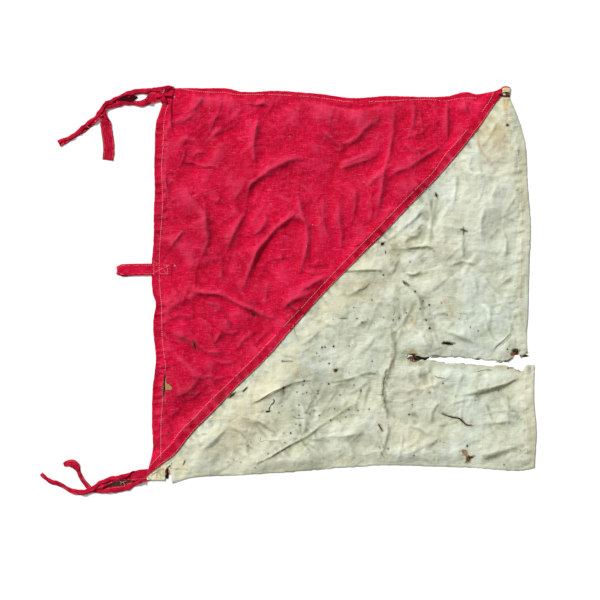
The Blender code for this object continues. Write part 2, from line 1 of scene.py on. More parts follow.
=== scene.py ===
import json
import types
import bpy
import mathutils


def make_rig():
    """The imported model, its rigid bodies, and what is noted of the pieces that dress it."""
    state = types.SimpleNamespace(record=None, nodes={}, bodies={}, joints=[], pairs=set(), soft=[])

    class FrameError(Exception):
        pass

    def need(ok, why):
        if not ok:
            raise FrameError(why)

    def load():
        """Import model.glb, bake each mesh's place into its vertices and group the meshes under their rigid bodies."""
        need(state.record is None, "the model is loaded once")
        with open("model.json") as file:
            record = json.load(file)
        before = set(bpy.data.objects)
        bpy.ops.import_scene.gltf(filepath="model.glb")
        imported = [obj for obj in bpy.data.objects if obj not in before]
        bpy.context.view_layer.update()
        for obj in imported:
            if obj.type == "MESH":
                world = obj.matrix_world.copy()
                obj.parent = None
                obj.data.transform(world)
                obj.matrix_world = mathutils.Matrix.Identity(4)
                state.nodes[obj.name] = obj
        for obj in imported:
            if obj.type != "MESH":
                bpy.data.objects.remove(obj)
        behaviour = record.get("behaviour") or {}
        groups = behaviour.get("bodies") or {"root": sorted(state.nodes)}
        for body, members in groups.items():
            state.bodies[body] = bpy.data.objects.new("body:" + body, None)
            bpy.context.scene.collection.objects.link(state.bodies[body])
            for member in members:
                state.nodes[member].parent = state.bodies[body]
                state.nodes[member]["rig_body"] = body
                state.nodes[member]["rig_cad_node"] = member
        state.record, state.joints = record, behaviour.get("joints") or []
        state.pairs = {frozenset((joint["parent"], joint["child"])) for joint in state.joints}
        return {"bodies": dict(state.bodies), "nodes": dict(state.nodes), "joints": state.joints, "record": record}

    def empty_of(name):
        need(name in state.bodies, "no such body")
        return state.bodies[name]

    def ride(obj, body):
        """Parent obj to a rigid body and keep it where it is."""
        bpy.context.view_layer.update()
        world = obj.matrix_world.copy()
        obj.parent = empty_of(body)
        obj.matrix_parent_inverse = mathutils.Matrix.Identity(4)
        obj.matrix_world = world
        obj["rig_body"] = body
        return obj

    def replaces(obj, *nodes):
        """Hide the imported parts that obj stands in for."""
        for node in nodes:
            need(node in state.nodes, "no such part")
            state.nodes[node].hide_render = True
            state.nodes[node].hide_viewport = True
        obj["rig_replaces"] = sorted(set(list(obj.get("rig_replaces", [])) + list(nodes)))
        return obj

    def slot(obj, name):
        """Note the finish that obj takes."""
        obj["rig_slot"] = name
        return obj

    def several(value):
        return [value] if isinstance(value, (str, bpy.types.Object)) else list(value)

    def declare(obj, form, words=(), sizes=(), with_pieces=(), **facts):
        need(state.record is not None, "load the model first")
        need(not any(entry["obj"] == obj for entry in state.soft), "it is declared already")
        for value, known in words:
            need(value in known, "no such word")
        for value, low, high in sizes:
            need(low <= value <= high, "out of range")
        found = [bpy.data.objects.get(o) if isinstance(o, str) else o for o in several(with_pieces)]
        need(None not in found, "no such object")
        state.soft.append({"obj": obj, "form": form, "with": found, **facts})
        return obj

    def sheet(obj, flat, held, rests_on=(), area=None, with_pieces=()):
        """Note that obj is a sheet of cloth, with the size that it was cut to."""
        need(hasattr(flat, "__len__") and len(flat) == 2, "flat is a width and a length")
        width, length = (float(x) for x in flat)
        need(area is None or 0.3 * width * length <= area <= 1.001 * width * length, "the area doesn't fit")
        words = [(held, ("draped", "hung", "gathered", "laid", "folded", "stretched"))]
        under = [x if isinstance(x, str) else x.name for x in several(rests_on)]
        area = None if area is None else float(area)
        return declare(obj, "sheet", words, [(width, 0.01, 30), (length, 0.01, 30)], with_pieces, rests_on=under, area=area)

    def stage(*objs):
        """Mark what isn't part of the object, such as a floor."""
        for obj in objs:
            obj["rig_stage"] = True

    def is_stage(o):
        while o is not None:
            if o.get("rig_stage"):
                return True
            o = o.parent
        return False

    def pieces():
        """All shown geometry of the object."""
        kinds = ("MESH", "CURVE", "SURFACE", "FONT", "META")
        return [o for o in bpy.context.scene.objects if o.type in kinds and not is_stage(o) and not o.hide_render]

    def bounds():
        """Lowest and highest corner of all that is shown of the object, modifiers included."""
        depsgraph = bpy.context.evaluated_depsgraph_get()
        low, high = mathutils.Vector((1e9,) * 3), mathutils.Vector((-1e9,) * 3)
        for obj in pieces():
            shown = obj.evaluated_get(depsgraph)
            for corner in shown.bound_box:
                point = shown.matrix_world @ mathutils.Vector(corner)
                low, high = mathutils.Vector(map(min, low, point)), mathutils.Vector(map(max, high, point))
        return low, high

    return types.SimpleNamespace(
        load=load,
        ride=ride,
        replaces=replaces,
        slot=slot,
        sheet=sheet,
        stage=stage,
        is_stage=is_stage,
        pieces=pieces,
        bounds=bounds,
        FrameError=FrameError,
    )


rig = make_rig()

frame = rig.load()
cad_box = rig.bounds()

# A tattered two-colour signal flag, laid out flat: a red and a cream triangle of worn cotton bunting with
# a lapped diagonal seam, a stitched hoist loop and a folded tape tie at each hoist corner.
#
# The tables below are in millimetres, in the flag's own frame: +X from the hoist to the fly, +Y up the
# hoist, +Z up off the surface that it lies on. Each relief height is over that surface.

import functools
import json
import math
from collections import namedtuple

import bpy
import numpy as np
from mathutils import kdtree
from mathutils.bvhtree import BVHTree
from mathutils.geometry import delaunay_2d_cdt

bl_info = {
    "name": "Tattered Signal Flag",
    "version": (1, 0, 0),
    "blender": (4, 5, 0),
    "location": "3D View > Sidebar > Flag",
    "description": "Builds a worn two-colour signal flag lying flat, with its ties, loop and damage",
    "category": "Add Mesh",
}

MM = 0.001
BODY = "root"
SIZE_FILE = "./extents.json"

# ---------------------------------------------------------------- tables

DROP = "drop"        # a crest with a steep side that faces the foot of the fly
RIDGE = "ridge"      # an even ridge
GROOVE = "groove"    # an even trough

Row = namedtuple("Row", "path gaps pitch")             # a stitched row; gaps are shares of it without thread
Rag = namedtuple("Rag", "x y radius depth")            # how ragged the cut edges near a place are
Press = namedtuple("Press", "x y flat radius")         # held down within flat, free again at radius
Wave = namedtuple("Wave", "length rise count stretch turn")
Facet = namedtuple("Facet", "spacing rise stretch turn")

RED, CREAM = "red", "cream"
# The soil, char and deeper red tints also carry painted shade along folds.
TINTS = ("soil", "tan", "rust", "char", "pale", "ink", "warm", "deep")
SOIL_AND_SHADE, TAN, RUST, CHAR_AND_SHADE, PALE, INK, WARM, DYE_AND_SHADE = TINTS
BROWN, SHADE_BROWN, WINE, MAROON = "brown", "soot", "wine", "maroon"

# Named creases by kind. Each row: half width, rise, then the x and y of the points along it.
RED_CREASES = {
    DROP: (
        (2.6, 1.5, -173, 291, -174, 263, -174, 239), (4, 1.3, -173, 248, -153, 254, -141, 263),
        (3, 1.1, -129, 218, -116, 240, -104, 266, -97, 285),
        (3, 1.3, -161, 191, -143, 190, -130, 186, -102, 183), (4, 1.4, -144, 195, -135, 206, -122, 203),
        (6.5, 2.13, -41, 267, -48, 237, -50, 215, -48, 188),
        (8.6, 2.79, -60, 128, -59, 150, -54, 159, -39, 171, -14, 186, 9, 195, 27, 192),
        (7.6, 2.13, -60, 132, -62, 119, -71, 103, -80, 86, -92, 60),
        (6.5, 3.44, 21, 122, 3, 107, -17, 92, -32, 75, -45, 59, -57, 30, -63, 14, -71, -6),
        (7.6, 1.97, -123, 131, -122, 98, -120, 75, -130, 48, -135, 41),
        (4, 2.2, -153, 93, -167, 75, -175, 65, -185, 51, -188, 42),
        (4.5, 3.4, -156, -1, -129, -5, -104, -7, -88, -14, -73, -22, -54, -30, -41, -37, -18, -46),
        (3, 0.9, -129, -20, -104, -24), (3.5, 1.5, -171, 15, -169, 0, -161, -4),
        (5.4, 1.48, 78, 138, 78, 104, 81, 81, 79, 54),
        (6.5, 1.97, 16, 150, 21, 119, 30, 87, 28, 59, 22, 38, 16, 15), (2.6, 0.9, 28, 38, 63, 36),
        (2.6, 0.9, -24, 46, 12, 50), (4, 1.6, 64, 27, 51, 17, 16, -4),
        (6.5, 2.13, 36, -6, 10, -14, -11, -31),
        (6.5, 1.89, 166, 290, 160, 266, 157, 234, 152, 201, 145, 177, 139, 137, 132, 101),
        (6.5, 2.13, 139, 257, 117, 242, 102, 225, 81, 216), (5.4, 1.64, 63, 215, 75, 209, 87, 215),
        (5.4, 1.8, 75, 176, 85, 184, 105, 190, 121, 195, 139, 203), (4, 2, 240, 287, 239, 255, 240, 222),
        (5.4, 1.64, 238, 224, 225, 212, 207, 201, 184, 185, 162, 176, 144, 159),
        (3, 1.2, 210, 276, 225, 277), (5.4, 2.13, 264, 290, 267, 278, 270, 264),
        (6.5, 1.48, -185, -63, -158, -72, -138, -82, -119, -94, -90, -94), (4, 1.6, -99, -60, -110, -82),
        (4, 1.3, -119, -61, -110, -82), (4, 1, -104, -112, -78, -108), (4, 1.2, -132, -160, -110, -151),
        (4, 1.2, -200, -111, -183, -114), (4, 1.8, -202, -241, -197, -231, -192, -222),
        (3.5, 1.5, -53, 275, -39, 278, -30, 275), (5.4, 1.31, -125, 291, -138, 273, -147, 266),
        (4, 1.3, -183, 180, -182, 159, -177, 135), (5.4, 1.39, -99, 141, -104, 134, -110, 128),
        (5.4, 1.23, -81, 84, -62, 81, -57, 75), (5.4, 1.31, -96, 51, -99, 39, -99, 12),
        (5.4, 1.23, 48, 237, 69, 222, 88, 210), (4, 1.4, 6, 111, 27, 102, 33, 89),
        (6.5, 1.48, -27, 113, -38, 93, -54, 78), (5.4, 1.15, 96, 165, 102, 135, 96, 99),
        (5.4, 1.23, 190, 285, 189, 255, 180, 222), (4, 1.2, 168, 225, 183, 210, 210, 210),
        (5.4, 1.15, 55, 143, 54, 105, 63, 75), (5.4, 1.31, -39, -60, -63, -72, -78, -93),
        (5.4, 1.07, -177, -45, -162, -39, -138, -42), (5.4, 1.07, -168, -162, -147, -150, -126, -123),
        (4, 1.2, -180, -192, -162, -180, -150, -171), (5.4, 1.15, -84, 21, -63, -15, -39, -21),
        (4, 1.4, -8, -15, 9, -28, 22, -33), (3, 1, -132, -4, -122, -12, -108, -22),
        (3, 1, -160, -8, -148, -14, -142, -24), (3.2, 1.1, -96, -38, -88, -50, -84, -60),
        (3, 1, -70, -60, -84, -66, -100, -64), (3, 0.9, -150, -56, -140, -70, -128, -82),
        (3.2, 1, -20, -58, -34, -66, -52, -84), (3, 0.8, -150, -128, -130, -132, -108, -130),
    ),
    RIDGE: (
        (6, 1.4, -168, 213, -158, 225, -146, 227, -129, 219),
        (7, 2.2, 70, 191, 92, 194, 117, 203, 139, 212), (3, 0.8, 34, 240, 51, 231, 73, 215),
        (2.5, 0.6, 45, 243, 61, 233, 78, 216), (5, 1.2, -182, 155, -174, 164, -165, 156),
        (6, 1.4, -84, 135, -72, 150, -62, 173), (7, 1.6, -140, 207, -117, 228, -84, 258, -60, 279),
        (6, 1.5, 111, 150, 126, 165, 144, 171), (6, 1.4, -168, -93, -153, -111, -132, -132),
    ),
    GROOVE: (
        (4.5, 2.4, 45, 287, 66, 279, 85, 275, 105, 273, 121, 275, 141, 279),
    ),
}
CREAM_CREASES = {
    DROP: (
        (5.5, 2.3, 261, 86, 261, 62, 264, 42), (3.5, 1.8, 238, 37, 255, 41, 264, 43, 285, 38),
        (4, 1.4, 251, 177, 251, 153, 247, 123), (4, 1.4, 274, 203, 274, 177, 297, 176),
        (5, 1.8, 223, 141, 219, 120, 214, 96, 212, 68), (5, 2.2, 205, 125, 187, 105, 162, 86),
        (4, 2, 147, 64, 168, 62, 183, 63, 209, 66, 226, 57), (4.5, 1.4, 91, 26, 123, 30, 144, 29),
        (4, 1.8, 174, 24, 187, 23, 201, 30), (5, 2, 165, 51, 160, 36, 154, 21),
        (2.6, 0.8, 300, -7, 331, 18, 349, 30),
        (1.8, 0.9, 301, -99, 307, -90, 313, -82, 322, -76, 328, -71, 332, -64, 334, -54, 339, -33),
        (5, 1.8, 232, -60, 250, -66, 269, -73, 286, -81),
        (4.5, 2.7, 252, -159, 279, -154, 307, -147, 326, -141, 352, -128),
        (3, 1.4, 279, -129, 294, -121, 309, -120), (5, 1.4, 274, -205, 301, -199, 345, -196),
        (4, 1.2, 268, -229, 294, -220), (4, 1.2, 183, -246, 199, -232), (4, 1.2, 205, -236, 225, -224),
        (9, 2.6, 279, -256, 318, -242, 352, -229), (3, 0.9, 156, -56, 159, -78, 161, -97),
        (3.4, 1.7, 161, -92, 151, -117, 143, -143), (3, 1.9, 143, -140, 142, -155, 146, -180, 154, -193),
        (3, 1.3, 152, -198, 145, -228, 134, -260), (3, 1.2, 79, -180, 90, -160),
        (4, 1.2, -143, -214, -123, -216), (5, 1.5, -132, -244, -108, -223, -87, -199),
        (4, 1.2, -77, -191, -45, -199), (5, 1.5, -59, -195, -36, -201, -15, -219),
        (4, 1.1, -48, -227, -6, -225), (4, 1.1, 39, -268, 67, -259),
        (5, 1.5, 30, -224, 60, -220, 89, -218, 117, -211), (4, 1.5, 85, -10, 105, 0, 123, 11),
        (4, 1.3, 144, 17, 150, 13, 156, 10), (5, 1.5, 198, 83, 180, 78, 171, 66),
        (6, 1.6, 196, -57, 207, -82, 213, -94), (6, 1.7, 172, 8, 195, -15, 201, -52),
        (5, 1.6, 291, 20, 307, 0, 322, -15), (7, 1.8, 285, -15, 303, -33, 297, -60),
        (5, 1.4, 217, -123, 231, -132, 246, -132), (6, 1.8, 255, -109, 261, -127, 252, -144),
        (5, 1.2, 174, -157, 192, -147, 213, -153), (6, 1.4, 96, -60, 111, -48, 126, -42),
        (5, 1.4, 103, -97, 120, -85, 129, -67), (6, 1.4, 18, -82, 36, -72, 51, -52),
        (5, 1.2, 175, -202, 198, -207, 216, -219), (5, 1.5, 313, 255, 303, 233, 285, 210),
        (5, 1.4, 297, 128, 288, 98, 294, 68), (5, 1.4, 316, 102, 327, 75, 324, 42),
        (5, 1.3, 229, 165, 238, 180, 255, 195), (6, 1.5, 318, -157, 330, -180, 348, -189),
        (5, 1.4, 228, -165, 216, -183, 213, -202), (5, 1.3, 18, -165, 27, -195, 18, -225),
        (5, 1.3, 85, -225, 96, -243, 93, -262), (5, 1.2, -75, -213, -63, -232, -66, -255),
    ),
    RIDGE: (
        (6, 1.6, 217, 98, 240, 96, 264, 89), (5, 1.5, 208, 107, 187, 88, 178, 80),
        (2.6, 1.6, -53, -262, -24, -248, 7, -229, 40, -210, 64, -196, 81, -182, 97, -172, 117, -156),
        (5, 1.8, -56, -169, -24, -154, -7, -145, 7, -138, 24, -136, 37, -133),
        (5, 1.7, 61, -142, 89, -135, 106, -129, 124, -122), (6, 1.5, 253, -103, 273, -93, 294, -99),
        (7, 1.6, 168, -135, 186, -120, 204, -115), (6, 1.5, 318, 165, 306, 141, 309, 114),
        (6, 1.3, 168, -270, 180, -247, 174, -225),
    ),
    GROOVE: (
        (3, 0.9, 72, -40, 84, -43, 93, -40),
    ),
}

# Puckers down the hoist hem: place, strength.
HOIST_PUCKERS = (
    (249, 1), (243, 0.9), (233, 0.8), (216, 0.4), (209, 0.3), (197, 0.4), (186, 0.3), (168, 0.3),
    (159, 0.6), (146, 0.3), (132, 0.3), (113, 0.6), (107, 0.9), (89, 0.6), (75, 0.4), (66, 0.4),
    (-19.4, 0.6), (-24, 0.7), (-37, 0.7), (-60, 0.3), (-82, 0.3), (-93, 0.4), (-100, 0.4), (-117, 0.7),
    (-124, 0.5), (-145, 0.4), (-160, 0.5), (-169, 0.7), (-187, 0.3), (-210, 0.3), (-232, 0.3),
)
# Dirt and painted shade in sharp folds, by tint. Each row: half width, strength, then x and y along it.
MARKS = {
    CREAM: {
        # Soil round the corner's stitches and in the folds, with painted shade along the folds.
        SOIL_AND_SHADE: (
            (0.9, 0.7, -196, -272, -192, -264), (0.9, 0.7, -196, -272, -186, -267),
            (0.9, 0.7, -196, -272, -187, -279), (0.9, 0.7, -196, -272, -197, -283),
            (0.9, 0.7, -196, -272, -205, -278), (1.2, 0.6, -172, -269, -162, -268, -150, -270),
            (1.2, 0.6, -186, -262, -178, -258, -168, -248),
            (1.6, 0.91, -52, -263, -27, -251, 1.8, -234, 28, -221, 48, -205, 64, -195, 88, -178, 98, -172),
            (1.7, 0.78, -56, -172, -42, -166, -26, -156, -12.2, -150, -0.2, -145, 15.9, -139),
            (1.5, 0.59, -74, -190, -62, -193, -48, -196, -36, -203, -24, -211, -17.1, -216),
            (1.7, 0.98, 62, -139, 76, -137, 92, -134, 106, -129, 122, -125, 136, -127),
            (1.5, 0.78, 155, -57, 156, -71, 159, -81, 161, -91, 160, -103),
            (1.8, 0.91, 150, -117, 145, -127, 142, -143, 141, -155, 142, -167, 145, -179),
            (1.3, 0.65, 55, -73, 62, -72), (1.7, 0.91, 177, 64, 198, 62, 210, 64, 221, 56),
            (1.5, 0.91, 79, 27, 98, 28, 118, 29, 143, 28), (1.5, 0.78, 177, 24, 189, 22, 199, 27),
            (1.5, 0.91, 276, -154, 289, -150, 309, -146, 328, -141, 345, -133),
            (1.7, 0.65, 289, -249, 306, -246, 326, -237), (1.4, 0.65, -130, -216, -120, -215),
            (1.4, 0.6, -10.4, -106.6, 8.2, -107), (1.2, 0.6, 133.4, 71.8, 138.8, 70.8),
        ),
        TAN: (
            (0.9, 0.7, -184, -268, -183.6, -283),
        ),
        RUST: (
            (0.7, 0.6, -213, -276, -206, -284, -190, -285.4, -184, -284),
            (1.5, 0.5, -67.4, -151.9, -64.4, -149.2, -61.2, -145.4),
        ),
        # Torn and charred lines, and lines of painted shade at the bottom of some folds.
        CHAR_AND_SHADE: (
            (1, 1, -180.4, -266.4, -175.4, -262.6), (0.7, 0.7, -175, -262, -174, -258),
            (0.8, 0.9, -176.6, -268.4, -174.6, -265.6),
            (0.9, 1, -157.8, -263.6, -156.2, -260.4, -154.2, -255.6),
            (0.65, 0.68, -39, -257, -27, -251, 1.8, -234, 17.9, -226),
            (0.6, 0.68, -56, -171, -42, -165, -26, -154, -12.2, -148, -0.2, -143, 15.9, -138, 34, -136),
            (0.85, 1, -22, -163, -21, -168, -26, -173, -29, -180),
            (1.3, 1, -34, -182, -30, -182, -26, -181),
            (0.55, 0.54, -40, -220, -42, -227, -34, -225, -22, -226, -7.2, -224),
            (0.6, 0.61, 5.8, -188, 11.8, -192, 24, -192), (0.5, 0.55, 155, -81, 160, -79),
            (0.6, 0.68, 156, -85, 160, -83),
            (0.6, 0.74, 150, -117, 146, -123, 147, -127, 144, -133, 143, -143, 142, -155, 143, -167),
            (0.6, 0.68, 132, -156, 139, -157, 145, -155), (0.5, 0.68, 76, -43, 90, -43),
            (0.65, 1, 146, 59, 146, 54), (0.8, 1, 172, 12.4, 176, 9.1, 182, 6.1),
            (0.45, 0.61, 198, 43, 204, 47, 208, 49, 205, 44, 199, 42),
            (0.5, 0.81, 220, 145, 223, 140, 225, 137), (0.5, 0.61, 103, 0.1, 113, 1.1, 122, 10.1),
            (0.55, 0.81, 282, -123, 294, -120, 306, -120), (0.55, 0.81, 220, -128, 224, -131, 235, -132),
            (0.4, 0.5, 250, -157, 251, -162), (0.55, 0.68, 209, -154, 213, -155),
            (0.45, 0.61, 320, -227, 327, -232), (0.45, 0.61, 347, -239, 351, -242, 355, -238, 360, -239),
            (0.55, 0.74, 310, -87, 319, -79, 331, -67), (0.45, 0.81, 157, -22, 160, -28, 158, -39),
            (0.5, 0.54, -116, -193, -108, -188),
            (0.6, 0.85, 256.6, -243.6, 258.2, -240.4, 261, -239.4, 267.4, -240.2),
            (0.5, 0.8, 260.4, -247.6, 263.2, -247.2), (0.6, 0.8, 264.6, -258.8, 268.4, -258.2),
            (0.55, 0.8, 269.6, -246.6, 272.4, -249.4, 276, -249.2),
            (1.1, 1, -68.2, -152.6, -64.4, -149.2, -60.4, -144.6),
            (0.5, 0.7, -10.4, -106.6, -3, -106.9, 3, -106.4, 8.2, -107),
        ),
    },
    RED: {
        # Painted shade along the red cloth's folds and hem.
        DYE_AND_SHADE: (
            (1.3, 0.8, -173, 290, -174, 281, -175, 273, -174, 264, -175, 255, -174, 243),
            (0.5, 0.6, -184, 165, -180, 158, -183, 150, -182, 135, -184, 114),
            (0.6, 0.8, -159, 176, -168, 173, -176, 175, -183, 172),
            (0.55, 0.7, -176, 250, -168, 252, -159, 254), (0.6, 0.7, -174, 264, -168, 262, -159, 266),
            (1, 0.5, -173, 77, -165, 86, -158, 95),
            (0.5, 0.6, -158, 192, -140, 189, -129, 187, -114, 185, -95, 187),
            (0.5, 0.5, -177, 248, -165, 252, -147, 267, -138, 275),
            (0.5, 0.5, -159, 212, -147, 231, -132, 255, -122, 273),
            (0.45, 0.4, -132, 143, -114, 150, -93, 156),
            (0.45, 0.6, -66, 218, -54, 224, -39, 227, -27, 225),
            (0.5, 0.5, -62, 278, -48, 277, -33, 274), (0.4, 0.7, -193, -117, -183, -118, -176, -114),
            (0.5, 0.9, -182, -118, -176, -116), (0.6, 0.9, -202, 47, -201, 36, -202, 22),
            (1.1, 0.5, -207, 48, -206, 39), (0.6, 0.6, -200, -39, -195, -37, -190, -34),
        ),
    },
}
# Stains by tint; the soil and char bands along the cream cloth's folds are partly painted shade. Each row: x, y, half
# length, half width, turn in degrees, strength.
STAINS = {
    CREAM: {
        # Soil in blotches, and olive bands of painted shade beside the folds and under the rolled corner.
        SOIL_AND_SHADE: (
            (162, 64, 14, 4.5, -8, 0.55), (156, 38, 4, 16, 0, 0.55), (212, 83, 4.5, 21, 0, 0.45),
            (181, 81, 7, 3.5, -30, 0.5), (222, 130, 3.5, 14, -12, 0.35), (100, -70, 10, 3.5, 35, 0.35),
            (113, -88, 14, 4, 38, 0.3), (329, 285, 2.6, 1.6, 0, 0.9), (156, -100, 4.5, 21, -8, 0.75),
            (158, -70, 3, 14, 0, 0.5), (146, -140, 2.4, 18, 30, 0.6), (149, -185, 2.4, 16, 0, 0.5),
            (142, -232, 2.2, 22, 20, 0.5), (162, 44, 6, 22, -15, 0.5), (154, 23, 6, 9, 0, 0.45),
            (174, 65, 21, 4.5, 0, 0.4), (142, 12, 18, 9, 25, 0.25), (187, -94, 11, 7, 0, 0.7),
            (204, -95, 8, 3, 0, 0.5), (216, -54, 13.5, 12, 0, 0.4), (210, -43, 4.5, 12, 0, 0.35),
            (214, -66, 6, 18, 0, 0.35), (36, -150, 48, 54, 0, 0.28), (145, -27, 33, 27, 0, 0.25),
            (63, -183, 36, 30, 0, 0.2), (-57, -225, 42, 21, 20, 0.18), (186, -15, 27, 24, 0, 0.2),
            (108, -225, 30, 21, 0, 0.18), (3, -195, 45, 24, 30, 0.2), (266, -259, 4.5, 2.4, 0, 0.6),
            (-74, -153, 7, 2.4, 25, 0.5), (137, -22, 4.5, 4.2, 0, 0.6), (151, -23, 3.3, 3.3, 0, 0.6),
            (-65, -250, 15, 4.5, -25, 0.3), (288, 213, 4.5, 24, 8, 0.3),
        ),
        PALE: (
            (186, 99, 24, 9, 30, 0.55), (290, 150, 60, 110, 25, 0.3), (277, 203, 10.5, 24, 0, 0.45),
            (171, 105, 33, 21, 35, 0.45), (193, 45, 26, 13.5, 0, 0.45), (273, 8, 22, 21, 0, 0.45),
            (276, -90, 26, 15, -20, 0.52), (313, -129, 33, 12, 20, 0.52), (283, -213, 13.5, 9, 0, 0.45),
            (171, -250, 13.5, 12, 0, 0.38), (325, 149, 13.5, 13.5, 0, 0.38), (228, 0, 18, 15, 0, 0.22),
            (318, -60, 18, 30, 0, 0.26), (18, -255, 30, 9, 0, 0.22), (255, -180, 30, 15, 0, 0.19),
            (295, 60, 21, 30, 0, 0.22), (138, 53, 15, 21, 0, 0.22),
        ),
        WARM: (
            (-198, -274, 24, 13, 20, 1), (-165, -268, 22, 18, 0, 0.6), (326, 284, 12, 22, 0, 0.9),
            (350, 90, 9, 190, 0, 0.25), (318, 235, 26, 36, 10, 0.35), (361, -200, 9, 80, 0, 0.3),
            (-40, -150, 150, 26, 46, 0.35), (60, -30, 120, 22, 46, 0.25),
        ),
        TAN: (
            (324, 284, 2.2, 9, 12, 0.55), (318, 280, 1.6, 7, -10, 0.3), (187, -94, 9, 6, 0, 0.75),
            (187, -108.5, 8, 2.4, 0, 0.5), (188, -49, 7.5, 4.5, 0, 0.5), (241, -25, 6, 15, 35, 0.5),
            (250, -39, 7.5, 6, 0, 0.3), (311, 226, 26, 42, 10, 0.58), (325, 279, 6, 9, 0, 0.5),
            (330, 285, 3, 2.4, 0, 0.8), (-72, -210, 60, 30, 35, 0.16), (123, 0, 33, 21, 30, 0.18),
            (93, -255, 60, 13.5, 0, 0.15), (213, -225, 45, 24, 0, 0.16), (198, -142, 39, 21, 0, 0.14),
            (348, -15, 7.5, 90, 0, 0.08), (361, -210, 9, 60, 0, 0.08), (318, -114, 15, 2.1, 0, 0.6),
            (267, -248, 11, 10, -40, 0.4), (255, -193, 27, 4.8, -20, 0.35), (157, 57, 15, 10.5, 0, 0.3),
            (93, -4, 9, 7.5, 0, 0.3), (-192, -273, 12, 12, 0, 0.22), (18, -123, 21, 12, 0, 0.2),
        ),
        RUST: (
            (158, -112, 2.5, 9, 0, 0.3), (187, -103, 8, 5.5, 0, 0.5), (340, -95, 6, 3.6, 0, 0.95),
            (334, -116, 6, 2.4, -15, 0.85), (345, -120, 6, 2.1, -20, 0.7),
            (225, -107, 18, 1.4, -5, 0.35), (273, -111, 39, 1.7, -5, 0.35),
            (270, -256, 3.4, 3.4, 0, 0.6), (-84, -158, 7, 2.6, 40, 0.7), (140.6, 67, 3.4, 1.8, 0, 0.6),
            (-6, -153, 2.2, 5.4, 0, 0.75), (71, -120, 2.8, 2.6, 0, 0.95),
        ),
        # Burns round the holes, and thin lines of painted shade down the main fold.
        CHAR_AND_SHADE: (
            (145, -150, 1, 12, 12, 0.5), (150, -203, 0.9, 9, 0, 0.5), (140, -243, 0.9, 12, 22, 0.45),
            (190, -97, 11, 1.6, 0, 0.95), (341, -90, 7.5, 3.6, 0, 0.95), (331, -105, 5, 1.6, 15, 0.75),
            (319, -107, 4, 1.4, 0, 0.7), (353, -99, 7, 1.3, 0, 0.85), (219, -99, 9, 2, 0, 0.75),
            (235, -100, 4.5, 1.8, 0, 0.55), (262, -101, 6, 1.8, 0, 0.5), (282, -105, 6.8, 2.2, 0, 0.7),
            (304, -106, 9, 2, 0, 0.6), (-84, -158, 5.2, 1.5, 40, 0.8), (264, 89, 6, 1.6, -20, 0.75),
            (263, 87, 1.3, 4, 0, 0.65), (222, 143, 2, 3.6, 15, 0.9), (329, 247, 2.1, 1.8, 0, 0.95),
            (-6, -147, 2.7, 2.4, 0, 0.95), (71, -120, 2.3, 2.1, 0, 0.9), (68, -84, 1.7, 1.6, 0, 0.85),
            (78, -197, 1.5, 1.2, 0, 0.5),
        ),
        INK: (
            (361, -119, 4.8, 7, -12, 0.5), (362, -117, 2.2, 3.4, -20, 0.6),
        ),
    },
    RED: {
        # Deeper red in a broad patch low on the cloth and down the hoist hem.
        DYE_AND_SHADE: (
            (-140, -150, 75, 150, -12, 0.13), (-199, 20, 9, 290, 0, 0.12),
        ),
        TAN: (
            (-188, -143, 0.8, 16, -5, 0.5), (-184, -166, 0.9, 5, -5, 0.5),
        ),
        CHAR_AND_SHADE: (
            (-140, -82, 2, 5, -15, 0.7), (-171, -113, 1.8, 1.5, 0, 0.8), (-52, -37, 3.6, 2.4, -35, 0.8),
            (-179, -214, 1.4, 1.4, 0, 0.7),
        ),
        SOIL_AND_SHADE: (
            (-138, -84, 9, 8, 0, 0.2), (-174, -114, 6, 3, 0, 0.25), (-179, -118, 3.2, 1.6, -20, 0.7),
            (-153, -75, 18, 7.5, -20, 0.35), (-197, -231, 6, 10.5, 0, 0.3), (-95, -157, 15, 9, 40, 0.25),
            (-187, 279, 6, 3, 0, 0.6), (-132, 285, 15, 7.5, 0, 0.2), (130, 255, 24, 15, 0, 0.18),
            (-42, 0, 21, 15, 0, 0.15),
        ),
        PALE: (
            (-41, 245, 7.5, 6, 0, 0.25), (-72, 273, 15, 6, 0, 0.2), (-54, 180, 18, 12, 0, 0.25),
            (-87, 165, 21, 30, 0, 0.2), (18, 75, 24, 12, 40, 0.2), (93, 150, 21, 21, 0, 0.2),
            (-12, 15, 24, 15, 0, 0.2), (-168, -30, 15, 21, 0, 0.2),
        ),
    },
}
# Torn slits. Each row: width, then x and y along it.
SLITS = {
    CREAM: (
        (2.4, 230.1, -185.2, 239.8, -188.9, 248.1, -191.3, 256.4, -192.7, 262.8, -197.9, 268.4, -202.7,
         276.6, -203.7),
        (2, 135.4, -200.3, 138.1, -205.4, 141.8, -211.4), (1.5, 171.8, 13.6, 176.8, 10.6, 181.8, 6.1),
        (1.5, -89.4, -161.6, -84.2, -158.2, -79, -153.6), (0.8, 258.3, 90.4, 263.9, 89.3, 268.1, 87.5),
        (0.8, 262.4, 93.7, 263.9, 88.6, 262.6, 82.7), (1.4, 220.3, 145.3, 222.4, 142.6, 223.3, 139),
        (1, -156.9, -261.5, -155.4, -257.9, -154.7, -255.8),
    ),
    RED: (
        (1.8, -142.4, -76.4, -139.7, -82.4, -138.2, -89), (1.3, -54.1, -35.9, -51.1, -38, -48.8, -39.5),
    ),
}
